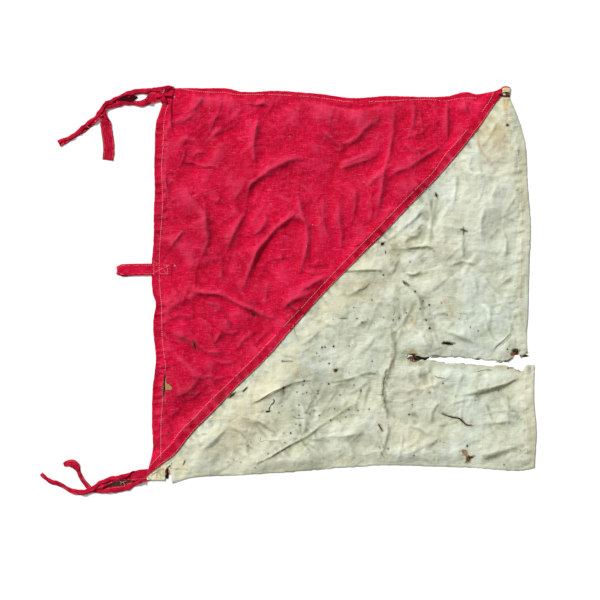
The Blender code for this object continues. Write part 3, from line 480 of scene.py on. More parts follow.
# Cloth under the holes, rotted scraps and painted shade that shows dark through them: side, tone, x, y, half length,
# half width, turn.
PATCHES = (
    (CREAM, TAN, -177.4, -271, 2.3, 5.6, 8), (CREAM, CHAR_AND_SHADE, 199, -100, 13, 6, 0),
    (CREAM, BROWN, 187, -103.5, 9.5, 4.6, 0), (CREAM, CHAR_AND_SHADE, 341, -90, 7.5, 5.1, 0),
    (CREAM, BROWN, 341, -95.5, 5, 2, 0), (CREAM, CHAR_AND_SHADE, 354, -98.6, 7, 1.7, 0),
    (CREAM, TAN, 265.5, -245, 6.5, 6.5, 0), (CREAM, CHAR_AND_SHADE, 276, -250, 5.8, 3.6, 0),
    (CREAM, RUST, 270, -254, 4.2, 5.6, 0), (CREAM, CHAR_AND_SHADE, 240, -80, 12, 5.1, 0),
    (CREAM, CHAR_AND_SHADE, 142, 70, 6.3, 5.1, 0), (CREAM, CHAR_AND_SHADE, -84, -158, 8.4, 3.4, 38),
    (CREAM, CHAR_AND_SHADE, 264, 88, 8.4, 6, 0), (CREAM, CHAR_AND_SHADE, 244, -189, 15, 4.5, -18),
    (CREAM, CHAR_AND_SHADE, 265, -200, 13.5, 4.5, -40), (CREAM, CHAR_AND_SHADE, 139, -206, 4.5, 7.5, 25),
    (CREAM, CHAR_AND_SHADE, 177, 10, 6.9, 3.9, -35), (RED, CHAR_AND_SHADE, -186.2, -145, 1.5, 20, -3.5),
    (RED, TAN, -177.6, -142, 7.2, 17, 0), (RED, CHAR_AND_SHADE, -140, -83, 2.6, 7, -15),
    (RED, CHAR_AND_SHADE, -51, -38, 5.1, 3.6, -35), (CREAM, CHAR_AND_SHADE, 222, 142, 3, 5.4, 15),
    (CREAM, CHAR_AND_SHADE, -180.9, -275.5, 2, 8, -6), (CREAM, WINE, -182.4, -270.6, 1.2, 3.6, -6),
    (CREAM, CHAR_AND_SHADE, 327, -106.4, 5, 1.5, 0), (CREAM, CHAR_AND_SHADE, 284, -103.4, 4, 1.2, 0),
    (CREAM, CHAR_AND_SHADE, 219, -100.2, 5, 1.2, 0),
)
# Small holes: x, y, radius.
PINHOLES = {
    CREAM: ((-6.2, -146.9, 1.4), (71, -120, 1.5), (329.3, 246.7, 1.1)),
    RED: ((-179.4, -214.4, 0.7),),
}
# Dark specks by side and radius, painted dark: mildew spots, and moth holes too small to cut whose dark is painted
# shade. x and y of each.
SPECKS = {RED: {}, CREAM: {
    0.4: (7.3, -180.5, -38.1, -181.4),
    0.5: (26.9, -183.9, -6.6, -214.4),
    0.52: (
        143.3, -40.9, 119.4, -43.4, 34.4, -155.9, 38.9, -180.9, 22.4, -155.9, -70.7, -257.9,
        -81.2, -254.9, -90.2, -257.9, -55.6, -227.9, 48, -107,
    ),
    0.6: (69.9, -177.9, -8.6, -106.7),
    0.62: (
        27.9, -153.5, 44.9, -154.9, 32.9, -185.9, -4.7, -228.5, 11.8, -200.9, 315.4, -150.8,
        -49.6, -266.3, -13.7, -183.5, -9.2, -173.9, 91.5, -84, 42.6, -94.4, 91, -179, 182.8, 42.1,
        229.3, -19.4, 232.3, -80.9,
    ),
    0.72: (
        177.3, -34.4, 109.3, -152.3, 104.8, -180.5, 46.8, -187.9, 16.4, -172.4, 188.4, -247.9,
        16.4, -187.7, -60, -233, -30, -245, 186, -172, 230.8, -79.9, 13.3, -152.9, 22.4, -142.4,
        86.8, -190.4, 17.9, -202.4, 357.4, -92.9, 272.9, -55.4, 238.3, -37.4, 166.3, -41.9, 110.8, -47.9,
        98.3, -26, 109.3, -149.9, 212.8, -152.9,
    ),
    0.82: (
        323.9, -261.9, 126, -106.5, 150, -238, 232, -140, 63.6, -194.9, 44.9, -151.4, 77.8, -157.4,
        125.8, -14.9, 157.3, -44.9, 197.8, -28.4, 329.6, -117.5, 328.6, -88.7, 284.9, -61.4,
        103.3, -42.8, 202.3, -16.4, 98.8, -142.4, 121.3, -178.4,
    ),
    1.05: (55.4, -85.4),
    1.15: (181.3, -186.5, 50.9, -85.9, 61.5, -110, 24.2, -136),
    1.25: (60.9, -140.9, 3.9, -214.1, 142.8, 22.6, 206.8, -44.9),
    1.35: (268.6, -233.7, 211.6, -22.3, 190.3, -2.1),
    1.5: (68.3, -84.4),
    1.65: (212.2, -57.3),
}}

# Torn outlines: the hoist tear with its corner turned back, then three holes in the cream cloth.
TEARS = {RED: ((
    (-184.4, -126.0), (-183.4, -130.0), (-182.8, -138.8), (-178.6, -140.6), (-177.0, -143.0),
    (-174.6, -144.6), (-173.6, -147.4), (-176.0, -150.2), (-181.0, -149.6), (-184.8, -150.4),
    (-185.6, -155.0), (-187.6, -162.5),
    (-187.9, -158.0), (-187.0, -147.0), (-186.0, -138.0), (-185.4, -130.0),
),), CREAM: ((
    (260.3, -240.9), (263.5, -240.0), (267.7, -240.7), (269.4, -246.5), (271.9, -249.8), (275.5, -249.6),
    (279.9, -248.8), (277.2, -251.7), (273.3, -254.0), (271.6, -257.6), (267.3, -257.4), (268.4, -251.8),
    (266.4, -248.2), (263.1, -246.2), (261.6, -243.6),
), (
    (139.1, 70.9), (141.8, 70.5), (144.8, 71.9), (143.4, 67.5), (139.3, 67.2),
), (
    (230.2, -78.8), (235.0, -77.2), (240.3, -78.0), (250.4, -79.8), (246.3, -82.4), (241.9, -82.6),
    (234.1, -81.4),
))}

# The tan tide mark in the fly's upper corner.
TIDE = ((283, 236), (288, 210), (298, 198), (310, 183), (322, 176), (336, 195), (339, 225), (330, 263),
        (303, 273))
TIDE_WIDTH = 2.6
TEAR_REACH = 25.0      # a torn outline takes the place of the CAD hole this near

# Seam and stitch lines. A hem lies to the left of its row, looking along the row.
SEAM_EDGE = (
    (317.1, 288.1), (309.9, 278.5), (301.8, 266.4), (292.1, 252.1), (278.9, 235.6), (264.4, 215.8),
    (246.4, 194.6), (228.6, 173.5), (210.8, 154.9), (190.3, 134.5), (168.4, 111.7), (145.6, 87.4),
    (122.8, 65.8), (100.8, 42.7), (84.6, 25.6), (70.9, 12.8), (48.6, -10.4), (27.4, -34.1), (6.3, -57.6),
    (-27.1, -96.9), (-49.6, -119.9), (-72.4, -140.9), (-95.3, -165.2), (-116.4, -186.5), (-140.9, -210.8),
    (-155.4, -228.8), (-170.1, -246.7), (-183.2, -256.4), (-195.2, -265.4), (-204.2, -272.6),
    (-212.9, -279.2),
)
SEAM_ROW = Row((
    (308.3, 296.4), (302.9, 285.1), (292.1, 269.5), (266.9, 238.6), (249.8, 219.1), (235.3, 202.6),
    (218.8, 178.6), (197.8, 157.3), (174.9, 134.5), (150.6, 109.6), (122.8, 81.1), (113.3, 71.6),
    (92.1, 50.5), (69.8, 27.1), (47.3, 3.1), (24.9, -21.6), (2.6, -44.9), (-27.1, -76.4), (-51.1, -101.9),
    (-70.7, -121.4), (-93.6, -143.9), (-118, -166.9), (-140.9, -191.3), (-162.2, -212.4), (-173.4, -227.9),
    (-187.2, -242.6), (-199.4, -254.9), (-207.2, -263.9),
), ((0.045, 0.085), (0.62, 0.64)), 3.2)
SEAM_OUTER_INSET = 1.3
HOIST_ROW = Row((
    (-190.7, -251.9), (-190.7, -209.9), (-189.9, -187.4), (-188.4, -172.4), (-186.9, -142.4),
    (-185.4, -125.9), (-183.6, -113.3), (-185.4, -101.9), (-188.4, -74.9), (-189.2, -56.9), (-189.9, -22.4),
    (-191.4, -7.4), (-193.2, 30.1), (-192.9, 52.6), (-191.7, 75.1), (-189.4, 105.1), (-188.1, 135.1),
    (-189.6, 183.1), (-188.4, 202.6), (-186.9, 229.6), (-186.2, 247.6), (-183.9, 265.6), (-179.3, 279.1),
), ((0.20, 0.245),), 3.2)
TOP_ROW = Row((
    (-160.7, 300.9), (-124.7, 297.1), (-94.7, 295.9), (-72.2, 292.9), (-39.1, 293.4), (-12.2, 292.6),
    (17.9, 291.1), (47.9, 288.4), (70.3, 285.1), (92.8, 282.4), (137.8, 282.9), (182.8, 285.1),
    (212.8, 285.9), (235.3, 283.6), (257.9, 287.4), (284.9, 288.1),
), ((0.37, 0.39), (0.58, 0.63)), 3.2)
FLY_ROW = Row((
    (326.9, 280.6), (329.9, 270.1), (333.6, 255.1), (338.9, 232.6), (343.4, 210.1), (344.9, 195.1),
    (347.9, 160.6), (349, 135.1), (350.1, 97.6), (348.6, 30.1), (347.1, -29.9), (345.3, -82.4),
    (346.4, -92.9),
), (), 3.2)
FLY_ROW_LOW = Row((
    (356.1, -122.9), (355.8, -164.9), (358, -209.9), (357.6, -247.4), (357.3, -260.9),
), (), 3.2)
FLY_OUTER = Row((
    (338.1, 259.6), (344.3, 246.1), (349, 228.8), (351.4, 216.1), (351.4, 199.6), (354.3, 162.1),
    (358, 112.6), (358.7, 97.6), (356.9, 30.1), (355.4, -29.9), (353.3, -82.4), (354.2, -92.9),
), (), 3.2)
FLY_OUTER_LOW = Row((
    (364, -125.9), (364, -157.4), (364.8, -179.9), (366.8, -206.9), (367.7, -215.9), (366.8, -226.4),
    (365.9, -254.9),
), (), 3.2)
LOOP_BOX = [Row(ends, (), 3.0) for ends in (
    ((-201.2, 46.6), (-201.2, 21.1)), ((-200.7, 43.6), (-193.7, 37.6)), ((-201.2, 26.4), (-177.9, 37.1)),
    ((-190.7, 34.6), (-179.4, 21.9)), ((-181.7, 36.1), (-180.2, 22.6)),
)]
CORNER_BOX = [Row(ends, (), 2.6) for ends in (
    ((-187.6, -267), (-187.2, -281.5)), ((-196.9, -272.1), (-188.5, -265.4)),
    ((-205.7, -279.4), (-196.9, -272.1)), ((-196.9, -272.1), (-189.6, -269.9)),
    ((-196.9, -272.1), (-188.5, -281.1)), ((-197.2, -266), (-197, -281.4)),
)]
KNOT_ROW = Row(((-172.2, 303.1), (-172.2, 289.6)), (), 3.2)
HEMS = ((RED, HOIST_ROW), (RED, TOP_ROW), (CREAM, FLY_ROW), (CREAM, FLY_ROW_LOW))
FLOOR_WIDTH = 40.0     # metres
SENSOR_WIDTH = 36.0
CAMERA_OFF = (0.01785, -0.0149)     # the camera looks down a little off the flag's middle

# How the edges are worn.
RAGS = [
    Rag(250, -106, 70, 1.1), Rag(330, -104, 34, 1.7), Rag(190, -101, 22, 1.3), Rag(-180, -142, 26, 1.4),
    Rag(266, -249, 24, 1.5), Rag(239, -80, 14, 1.0), Rag(-183, -275, 20, 0.9), Rag(365, -115, 16, 0.8),
    Rag(60, -272, 150, 0.5), Rag(300, -268, 90, 0.4),
]
PRESSES = [
    Press(-190, 31, 26, 50), Press(-184, 292, 22, 46), Press(-192, -272, 30, 62), Press(327, 297, 12, 30),
]
CORNER_LIFT = Press(-198, -274, 21, 52)     # the cream corner rides over the tie that is sewn under it
CORNER_RISE = 1.6

# Crumples that the tables don't name: soft waves, and facets with crisp edges, as dry cotton keeps them.
WAVES = [
    Wave(150, 1.3, 16, 1.5, 40), Wave(84, 0.6, 22, 1.6, 50),
]
FACETS = [
    Facet(46, 1.55, 1.9, 62), Facet(25, 0.8, 1.8, 35), Facet(13.5, 0.5, 1.6, -50),
]
FINE_COUNT = 300       # short sharp creases between the named ones
FINE_RUNS = (95.0, 60.0, 80.0, 20.0, -5.0, 120.0)    # the ways they mostly run, in degrees

TOP_PUCKERS = (-140, -118, -92, -70, -38, -10, 14, 40, 62, 88, 118, 150, 186, 222, 256)

GRID = 1.5             # spacing of the relief's grid
CREASE_REACH = 3.6     # a crease ends this many half widths from its line
AREA = (-232, -298, 382, 316)
BASE_SHARE = 0.35      # how much of the CAD solids' height the soft folds keep
SOLID_CLOTH = 1.2      # thickness of a CAD panel
CLOTH_LIFT = 2.9
HOIST_BAND_HALF = 2.2  # half the width of a band of painted shade across the hoist hem
FOLD_HALF = 0.8        # half the width of the painted shade along a fold
LAP_WIDTH = 13.2
LAP_RISE = 1.35        # the red cloth lies this much higher on the cream one
LAP_CREST = 1.1        # extra height along the lap's inner row, where the turned edges end
SEAM_REACH = 22.0      # a CAD edge this near the seam is sewn down and not free,
SEAM_FOOT = -200.0     # except left of here, at the seam's foot,
SEAM_HEAD = (306.0, 334.0)     # and between these, at its head
PATH_STEP = 6.0        # spacing of the points along the seam and the hem rows
PRESSED = 0.92         # how much of its height a place that is held down loses
FLOOR_GAP = 0.02       # nothing dips closer to the floor
REST_GAP = 0.15        # the cloth's underside lies at least about this high
MESH_STEP = 2.18       # spacing of the cloth's points
POINT_GAP = 0.45       # no two points laid along marks and edges are nearer than this
OUTLINE_STEP = 1.7
EDGE_WEAR = 0.22       # how ragged an edge is away from its worn places
LEAST_AREA = 1e-5      # a face is left out if it is smaller, in square millimetres, twice over
SHARP_TURN = 38.0      # an outline corner that turns more than this stays sharp, in degrees
TINY = 1e-9


# ---------------------------------------------------------------- small helpers

def smooth(value):
    """0 below 0, 1 above 1, and a soft step between."""
    value = np.clip(value, 0.0, 1.0)
    return value * value * (3.0 - 2.0 * value)


def linear(hex_colour):
    """An sRGB hex colour as linear red, green, blue."""
    parts = [int(hex_colour[i:i + 2], 16) / 255.0 for i in (1, 3, 5)]
    return tuple(c / 12.92 if c <= 0.04045 else ((c + 0.055) / 1.055) ** 2.4 for c in parts)


def spline(points, step):
    """A smooth curve through the points, with points an even step apart."""
    rows = np.array(points, float)
    rows = np.vstack([2.0 * rows[0] - rows[1], rows, 2.0 * rows[-1] - rows[-2]])
    t = np.linspace(0.0, 1.0, 12, endpoint=False)[:, None]
    curve = []
    for a, b, c, d in zip(rows, rows[1:], rows[2:], rows[3:]):
        curve.append(0.5 * (2.0 * b + (c - a) * t + (2.0 * a - 5.0 * b + 4.0 * c - d) * t ** 2
                            + (3.0 * b - a - 3.0 * c + d) * t ** 3))
    curve = np.vstack(curve + [rows[-2:-1]])
    return even(curve, step)


def even(curve, step):
    """The same curve, divided into equal steps."""
    along = lengths_along(curve)
    count = max(int(round(along[-1] / step)), 1) + 1
    return sampled(curve, along, np.linspace(0.0, along[-1], count))


def sampled(curve, along, places):
    """The curve's points at the given distances along it."""
    return np.stack([np.interp(places, along, column) for column in curve.T], axis=1)


def summed(steps):
    """The running total of the steps, from 0."""
    return np.concatenate([[0.0], np.cumsum(steps)])


def lengths_along(curve):
    return summed(np.linalg.norm(np.diff(curve, axis=0), axis=1))


def unit(vectors, least=0.0):
    """Each vector at length 1. A small least keeps one of no length from dividing by zero."""
    return vectors / (np.linalg.norm(vectors, axis=1)[:, None] + least)


def left_of(run):
    """The flat direction to the left of each step."""
    return np.column_stack([-run[:, 1], run[:, 0]])


def dice(offset):
    """The random numbers of one operator, picked by the seed."""
    return np.random.default_rng(bpy.context.scene.flag_cloth.seed + offset)


def circle(count):
    """Even angles right round."""
    return 2.0 * math.pi * np.arange(count) / count


def covered(strength, more):
    """One strength of colour over another."""
    return 1.0 - (1.0 - strength) * (1.0 - more)


def pairs(numbers):
    """x, y, x, y and so on, as points."""
    return list(zip(numbers[::2], numbers[1::2]))


def nearest(path, x, y):
    """Distance to a path, which side of it (1 is its left), and the share along it."""
    lengths = np.linalg.norm(np.diff(path, axis=0), axis=1)
    total = lengths.sum()
    best = np.full(x.shape, np.inf)
    side = np.ones(x.shape)
    share = np.zeros(x.shape)
    run = 0.0
    for a, b, length in zip(path, path[1:], lengths):
        dx, dy = (b - a) / length
        along = np.clip((x - a[0]) * dx + (y - a[1]) * dy, 0.0, length)
        off_x = x - a[0] - along * dx
        off_y = y - a[1] - along * dy
        gap = off_x ** 2 + off_y ** 2
        closer = gap < best
        best = np.where(closer, gap, best)
        side = np.where(closer, np.sign(dx * off_y - dy * off_x + TINY), side)
        share = np.where(closer, (run + along) / total, share)
        run += length
    return np.sqrt(best), side, share


def wave_field(x, y, length, count, stretch, turn, rng):
    """A smooth random field of about unit size, with crests about length apart, drawn out along turn."""
    angle = math.radians(turn)
    u = (x * math.cos(angle) + y * math.sin(angle)) / stretch
    v = -x * math.sin(angle) + y * math.cos(angle)
    total = np.zeros(x.shape)
    for _ in range(count):
        heading = rng.uniform(0.0, 2.0 * math.pi)
        size = 2.0 * math.pi / length * rng.uniform(0.6, 1.5)
        phase = rng.uniform(0.0, 2.0 * math.pi)
        total += np.cos((u * math.cos(heading) + v * math.sin(heading)) * size + phase)
    return total * math.sqrt(2.0 / count)


def facet_field(xs, ys, facet, rng):
    """A crumpled field of flat facets between random corners, drawn out along turn."""
    angle = math.radians(facet.turn)
    reach = 0.75 * math.hypot(xs[-1] - xs[0], ys[-1] - ys[0])
    centre_x = (xs[0] + xs[-1]) / 2.0
    centre_y = (ys[0] + ys[-1]) / 2.0
    v, u = np.meshgrid(np.arange(-reach, reach, facet.spacing),
                       np.arange(-reach / facet.stretch, reach / facet.stretch, facet.spacing))
    u = (u + rng.uniform(-0.48, 0.48, u.shape) * facet.spacing).ravel()
    v = (v + rng.uniform(-0.48, 0.48, v.shape) * facet.spacing).ravel()
    heights = rng.normal(size=u.shape) * facet.rise
    _, _, triangles, order, _, _ = delaunay_2d_cdt(np.column_stack([u, v]).tolist(), [], [], 0, 1e-9)
    heights = np.array([heights[source[0]] for source in order])
    u, v = (np.array([part[source[0]] for source in order]) for part in (u, v))
    x = centre_x + u * facet.stretch * math.cos(angle) - v * math.sin(angle)
    y = centre_y + u * facet.stretch * math.sin(angle) + v * math.cos(angle)
    field = np.zeros((len(ys), len(xs)))
    for a, b, c in triangles:
        corners = [a, b, c]
        j0, j1 = np.searchsorted(xs, (x[corners].min(), x[corners].max()))
        i0, i1 = np.searchsorted(ys, (y[corners].min(), y[corners].max()))
        if j0 == j1 or i0 == i1:
            continue
        px = xs[None, j0:j1] - x[a]
        py = ys[i0:i1, None] - y[a]
        whole = (x[b] - x[a]) * (y[c] - y[a]) - (x[c] - x[a]) * (y[b] - y[a])
        s = (px * (y[c] - y[a]) - (x[c] - x[a]) * py) / whole
        t = ((x[b] - x[a]) * py - px * (y[b] - y[a])) / whole
        within = (s >= -1e-6) & (t >= -1e-6) & (s + t <= 1.000001)
        block = field[i0:i1, j0:j1]
        value = heights[a] + s * (heights[b] - heights[a]) + t * (heights[c] - heights[a])
        block[within] = value[within]
    return field


def blur(field, radius):
    """Gaussian blur of a grid, by radius in cells."""
    pad = int(3 * radius) + 1
    wide = np.pad(field, pad, mode="edge")
    fy = np.fft.fftfreq(wide.shape[0])[:, None]
    fx = np.fft.rfftfreq(wide.shape[1])[None, :]
    soft = np.exp(-2.0 * (math.pi * radius) ** 2 * (fx ** 2 + fy ** 2))
    wide = np.fft.irfft2(np.fft.rfft2(wide) * soft, s=wide.shape)
    return wide[pad:-pad, pad:-pad]


def inside(loop, x, y):
    """Even-odd test of points against one closed outline."""
    result = np.zeros(x.shape, bool)
    for a, b in zip(loop, np.roll(loop, -1, axis=0)):
        if a[1] == b[1]:
            continue
        crosses = (a[1] > y) != (b[1] > y)
        result ^= crosses & (x < a[0] + (y - a[1]) * (b[0] - a[0]) / (b[1] - a[1]))
    return result


def press_share(press, x, y):
    """1 where the cloth is held down, 0 where it is free again."""
    return smooth((press.radius - np.hypot(x - press.x, y - press.y)) / (press.radius - press.flat))


# ---------------------------------------------------------------- outlines from the CAD panels

def node_loops(node):
    """The closed outlines of a CAD panel's underside, the outer one first, in millimetres."""
    mesh = frame["nodes"][node].data
    places = np.array([v.co for v in mesh.vertices]) / MM
    keys = [tuple(row) for row in np.round(places, 3)]
    below = {}
    for polygon in mesh.polygons:
        if polygon.normal.z < -0.5:
            corners = [keys[i] for i in polygon.vertices]
            below.update(dict.fromkeys(zip(corners, corners[1:] + corners[:1])))
    following = {a: b for a, b in below if (b, a) not in below}
    loops = []
    while following:
        start = here = next(iter(following))
        loop = []
        while here in following:
            loop.append(here)
            here = following.pop(here)
        if here == start and len(loop) > 2:
            loops.append(np.array(loop)[:, :2])
    loops.sort(key=lambda loop: -np.ptp(loop[:, 0]))
    return loops


def refine(loop, rng, wear):
    """A closed outline with soft bends, sharp corners kept, and its edge worn."""
    ahead = np.roll(loop, -1, axis=0) - loop
    length = np.linalg.norm(ahead, axis=1)
    ahead = ahead / length[:, None]
    behind = np.roll(ahead, 1, axis=0)
    sharp = (ahead * behind).sum(axis=1) < math.cos(math.radians(SHARP_TURN))
    blend = unit(ahead + behind)
    points = []
    for i in range(len(loop)):
        j = (i + 1) % len(loop)
        start = ahead[i] if sharp[i] else blend[i]
        end = ahead[i] if sharp[j] else blend[j]
        count = max(int(round(length[i] / OUTLINE_STEP)), 1)
        for t in np.arange(count) / count:
            points.append((2 * t ** 3 - 3 * t ** 2 + 1) * loop[i] + (3 * t ** 2 - 2 * t ** 3) * loop[j]
                          + ((t ** 3 - 2 * t ** 2 + t) * start + (t ** 3 - t ** 2) * end) * length[i])
    points = np.array(points)
    normal = left_of(unit(np.roll(points, -1, axis=0) - np.roll(points, 1, axis=0), TINY))
    rough = np.full(len(points), wear)
    for rag in RAGS:
        gap = np.hypot(points[:, 0] - rag.x, points[:, 1] - rag.y)
        rough = np.maximum(rough, rag.depth * smooth(2.0 - 2.0 * gap / rag.radius))
    noise = rng.normal(size=len(points))
    slow = noise.copy()
    for _ in range(3):
        slow = 0.5 * slow + 0.25 * (np.roll(slow, 1) + np.roll(slow, -1))
    offset = np.clip(0.3 * noise + 1.1 * slow, -1.1, 1.1) * rough
    return points + normal * offset[:, None]


def slit_loop(width, path, rng):
    """A torn slit: widest near its middle, closed to a point at each end."""
    middle = spline(path, 1.3)
    if len(middle) < 4:
        middle = spline(path, 0.8)
    normal = left_of(unit(np.gradient(middle, axis=0)))
    share = np.linspace(0.0, 1.0, len(middle))
    half = width * 0.36 * np.sqrt(np.clip(4.0 * share * (1.0 - share), 0.0, 1.0)) + 0.08
    left = half * (0.75 + 0.5 * rng.random(len(middle)))
    right = half * (0.75 + 0.5 * rng.random(len(middle)))
    upper = middle + normal * left[:, None]
    lower = (middle - normal * right[:, None])[::-1]
    return np.vstack([upper, lower])


def hole_loop(x, y, radius, rng):
    """A small ragged hole."""
    count = 8 if radius > 1.0 else 7
    angles = 2.0 * math.pi * (np.arange(count) + rng.uniform(-0.2, 0.2, count)) / count
    radii = radius * rng.uniform(0.75, 1.2, count)
    return np.stack([x + radii * np.cos(angles), y + radii * np.sin(angles)], axis=1)


# ---------------------------------------------------------------- relief

class Relief:
    """The height of the cloth's underside over the whole flag, on an even grid, in millimetres."""

    def __init__(self, settings):
        rng = dice(0)
        self.xs = np.arange(AREA[0], AREA[2], GRID)
        self.ys = np.arange(AREA[1], AREA[3], GRID)
        self.x, self.y = x, y = np.meshgrid(self.xs, self.ys)
        self.seam = spline(SEAM_EDGE, PATH_STEP)
        self.hems = [(side, spline(row.path, PATH_STEP)) for side, row in HEMS]
        seam_gap, seam_side, _ = nearest(self.seam, x, y)
        seam_in = seam_gap * -seam_side      # positive on the red side

        crumple = self.crumples(rng) * settings.crumple
        creases = self.creases(rng)
        # The seam and the hems hold the cloth flatter, and have small puckers of their own.
        hem_gap = np.min([nearest(path, x, y)[0] for _, path in self.hems], axis=0)
        calm = 0.55 + 0.45 * smooth(np.minimum(seam_gap - 2.0, hem_gap + 3.0) / 26.0)
        firm = 0.6 + 0.4 * smooth((seam_gap - 4.0) / 14.0)
        height = BASE_SHARE * self.solid_heights() + crumple * calm + settings.crease * creases * firm
        pucker = wave_field(x, y, 13.0, 24, 1.8, 20.0, rng)
        fine = wave_field(x, y, 7.0, 24, 1.6, 30.0, rng)
        height += (0.34 * pucker + 0.3 * fine) * np.exp(-(hem_gap / 9.0) ** 2)
        along_seam = wave_field(x, y, 14.0, 24, 2.2, -42.0, rng)
        height += 0.4 * along_seam * np.exp(-(seam_in / 16.0) ** 2)

        edge_gap = self.edge_distance()
        height = (height + CLOTH_LIFT) * (0.06 + 0.94 * smooth(edge_gap / 20.0))
        height = height + self.hem_puckers(rng) * smooth(edge_gap / 3.0)
        for press in PRESSES:
            height *= 1.0 - PRESSED * press_share(press, x, y)
        height = np.maximum(height, CORNER_RISE * press_share(CORNER_LIFT, x, y))
        self.height = REST_GAP + np.logaddexp(0.0, (height - REST_GAP) * 3.0) / 3.0
        # fold is the height over its blurred height: the material paints crests paler as wear and highlight, and
        # troughs darker as painted shade.
        self.fold = np.clip((self.height - blur(self.height, 5.0)) / 0.9, -1.0, 1.0)
        # crevice is where the cloth dips below its slightly blurred height, which the material darkens as grime and
        # painted shade.
        self.crevice = smooth((blur(self.height, 1.5) - self.height - 0.03) / 0.22)
        self.mottle = wave_field(x, y, 22.0, 24, 1.0, 0.0, rng)
        self.speckle = wave_field(x, y, 6.5, 28, 1.0, 0.0, rng)

    def crumples(self, rng):
        """The heights of the soft waves and the crisp facets."""
        total = np.zeros(self.x.shape)
        for wave in WAVES:
            field, other = (wave_field(self.x, self.y, wave.length, wave.count, wave.stretch, turn, rng)
                            for turn in (wave.turn, wave.turn + 70.0))
            total += wave.rise * (np.sqrt(field ** 2 + 0.03) - np.sqrt(other ** 2 + 0.03))
        for facet in FACETS:
            total += facet_field(self.xs, self.ys, facet, rng)
        return blur(total, 0.6)

    def creases(self, rng):
        """The heights of the named creases, and of the short ones that lie between them."""
        total = np.zeros(self.x.shape)
        for kind, rows in (*RED_CREASES.items(), *CREAM_CREASES.items()):
            for half, rise, *path in rows:
                self.add_crease(total, kind, half, rise, pairs(path), rng)
        for _ in range(FINE_COUNT):
            place = rng.uniform((AREA[0] + 20, AREA[1] + 15), (AREA[2] - 20, AREA[3] - 15))
            heading = math.radians(rng.choice(FINE_RUNS) + rng.normal(0.0, 16.0))
            length = rng.uniform(25.0, 80.0)
            path = [place]
            for _ in range(3):
                heading += rng.normal(0.0, 0.28)
                path.append(path[-1] + np.array([math.cos(heading), math.sin(heading)]) * length / 3.0)
            self.add_crease(total, DROP, rng.uniform(1.2, 3.2), rng.uniform(0.25, 0.75), path, rng)
        return total

    def hem_puckers(self, rng):
        """The heights of the short creases that cross the hoist and top hems."""
        total = np.zeros(self.x.shape)
        for y, strength in HOIST_PUCKERS:
            path = ((-212.0, y - 2.0), (-198.0, y), (-182.0, y + 3.0))
            self.add_crease(total, DROP, 2.4, 0.5 + strength, path, rng)
        for x in TOP_PUCKERS:
            y = 292.0 - 0.03 * x
            path = ((x - 3.0, y + 7.0), (x, y - 2.0), (x + 2.0, y - 16.0))
            self.add_crease(total, DROP, 2.4, rng.uniform(0.3, 0.7), path, rng)
        return total

    def solid_heights(self):
        """The CAD panels' upper sides, blurred so that their facets don't show."""
        trees = []
        for node in ("red_panel", "cream_panel"):
            mesh = frame["nodes"][node].data
            places = [v.co.copy() for v in mesh.vertices]
            trees.append(BVHTree.FromPolygons(places, [tuple(p.vertices) for p in mesh.polygons]))
        step = 3
        found = np.full(self.x[::step, ::step].shape, np.nan)
        for i, yy in enumerate(self.ys[::step]):
            for j, xx in enumerate(self.xs[::step]):
                for tree in trees[::-1]:
                    hit = tree.ray_cast((xx * MM, yy * MM, 0.05), (0.0, 0.0, -1.0))[0]
                    if hit is not None:
                        found[i, j] = hit.z / MM
                        break
        known = ~np.isnan(found)
        weight = blur(known.astype(float), 1.6) + 1e-4
        found = blur(np.where(known, found, 0.0), 1.6) / weight
        rows, columns = np.indices(self.x.shape) / step
        return lookup(found, columns, rows) - SOLID_CLOTH

    def add_crease(self, total, kind, half, rise, path, rng):
        """Adds one crease to a grid of heights. Its ends fade, and its steep side faces the fly's foot."""
        path = spline(path, 4.0)
        chord = path[-1] - path[0]
        faces_foot = 1.0 if chord[0] + chord[1] < 0.0 else -1.0
        reach = half * CREASE_REACH
        i, j = (slice(*np.searchsorted(line, (path[:, k].min() - reach, path[:, k].max() + reach)))
                for line, k in ((self.ys, 1), (self.xs, 0)))
        gap, side, share = nearest(path, self.x[i, j], self.y[i, j])
        length = lengths_along(path)[-1]
        u = gap * side * faces_foot / half
        if kind == DROP:
            climb = np.exp(np.minimum(u, 0.0) / 1.15)
            fall = 1.45 * np.exp(-np.maximum(u, 0.0) / 0.42) - 0.45 * np.exp(-np.maximum(u, 0.0) / 1.3)
            shape = np.where(u < 0.0, climb, fall)
        elif kind == RIDGE:
            shape = np.exp(-np.abs(u) / 0.75)
        else:
            shape = -np.exp(-np.abs(u) / 0.6)
        ends = smooth(np.minimum(share, 1.0 - share) * length / max(10.0, 0.28 * length))
        past = smooth((CREASE_REACH - np.abs(u)) / 1.6)
        wobble = 1.0 + 0.22 * np.sin(share * length / 11.0 + rng.uniform(0.0, 6.0))
        total[i, j] += rise * shape * ends * past * wobble

    def edge_distance(self):
        """Distance to the nearest free edge; the seam isn't one."""
        gap = np.full(self.x.shape, 1e6)
        for node in ("red_panel", "cream_panel"):
            loop = node_loops(node)[0]
            for a, b in zip(loop, np.roll(loop, -1, axis=0)):
                middle = (a + b) / 2.0
                in_seam = np.hypot(*(self.seam - middle).T).min() < SEAM_REACH
                if in_seam and middle[0] > SEAM_FOOT and not SEAM_HEAD[0] <= middle[0] <= SEAM_HEAD[1]:
                    continue
                length = np.hypot(*(b - a))
                dx, dy = (b - a) / length
                along = np.clip((self.x - a[0]) * dx + (self.y - a[1]) * dy, 0.0, length)
                off_x, off_y = self.x - a[0] - along * dx, self.y - a[1] - along * dy
                gap = np.minimum(gap, off_x ** 2 + off_y ** 2)
        return np.sqrt(gap)

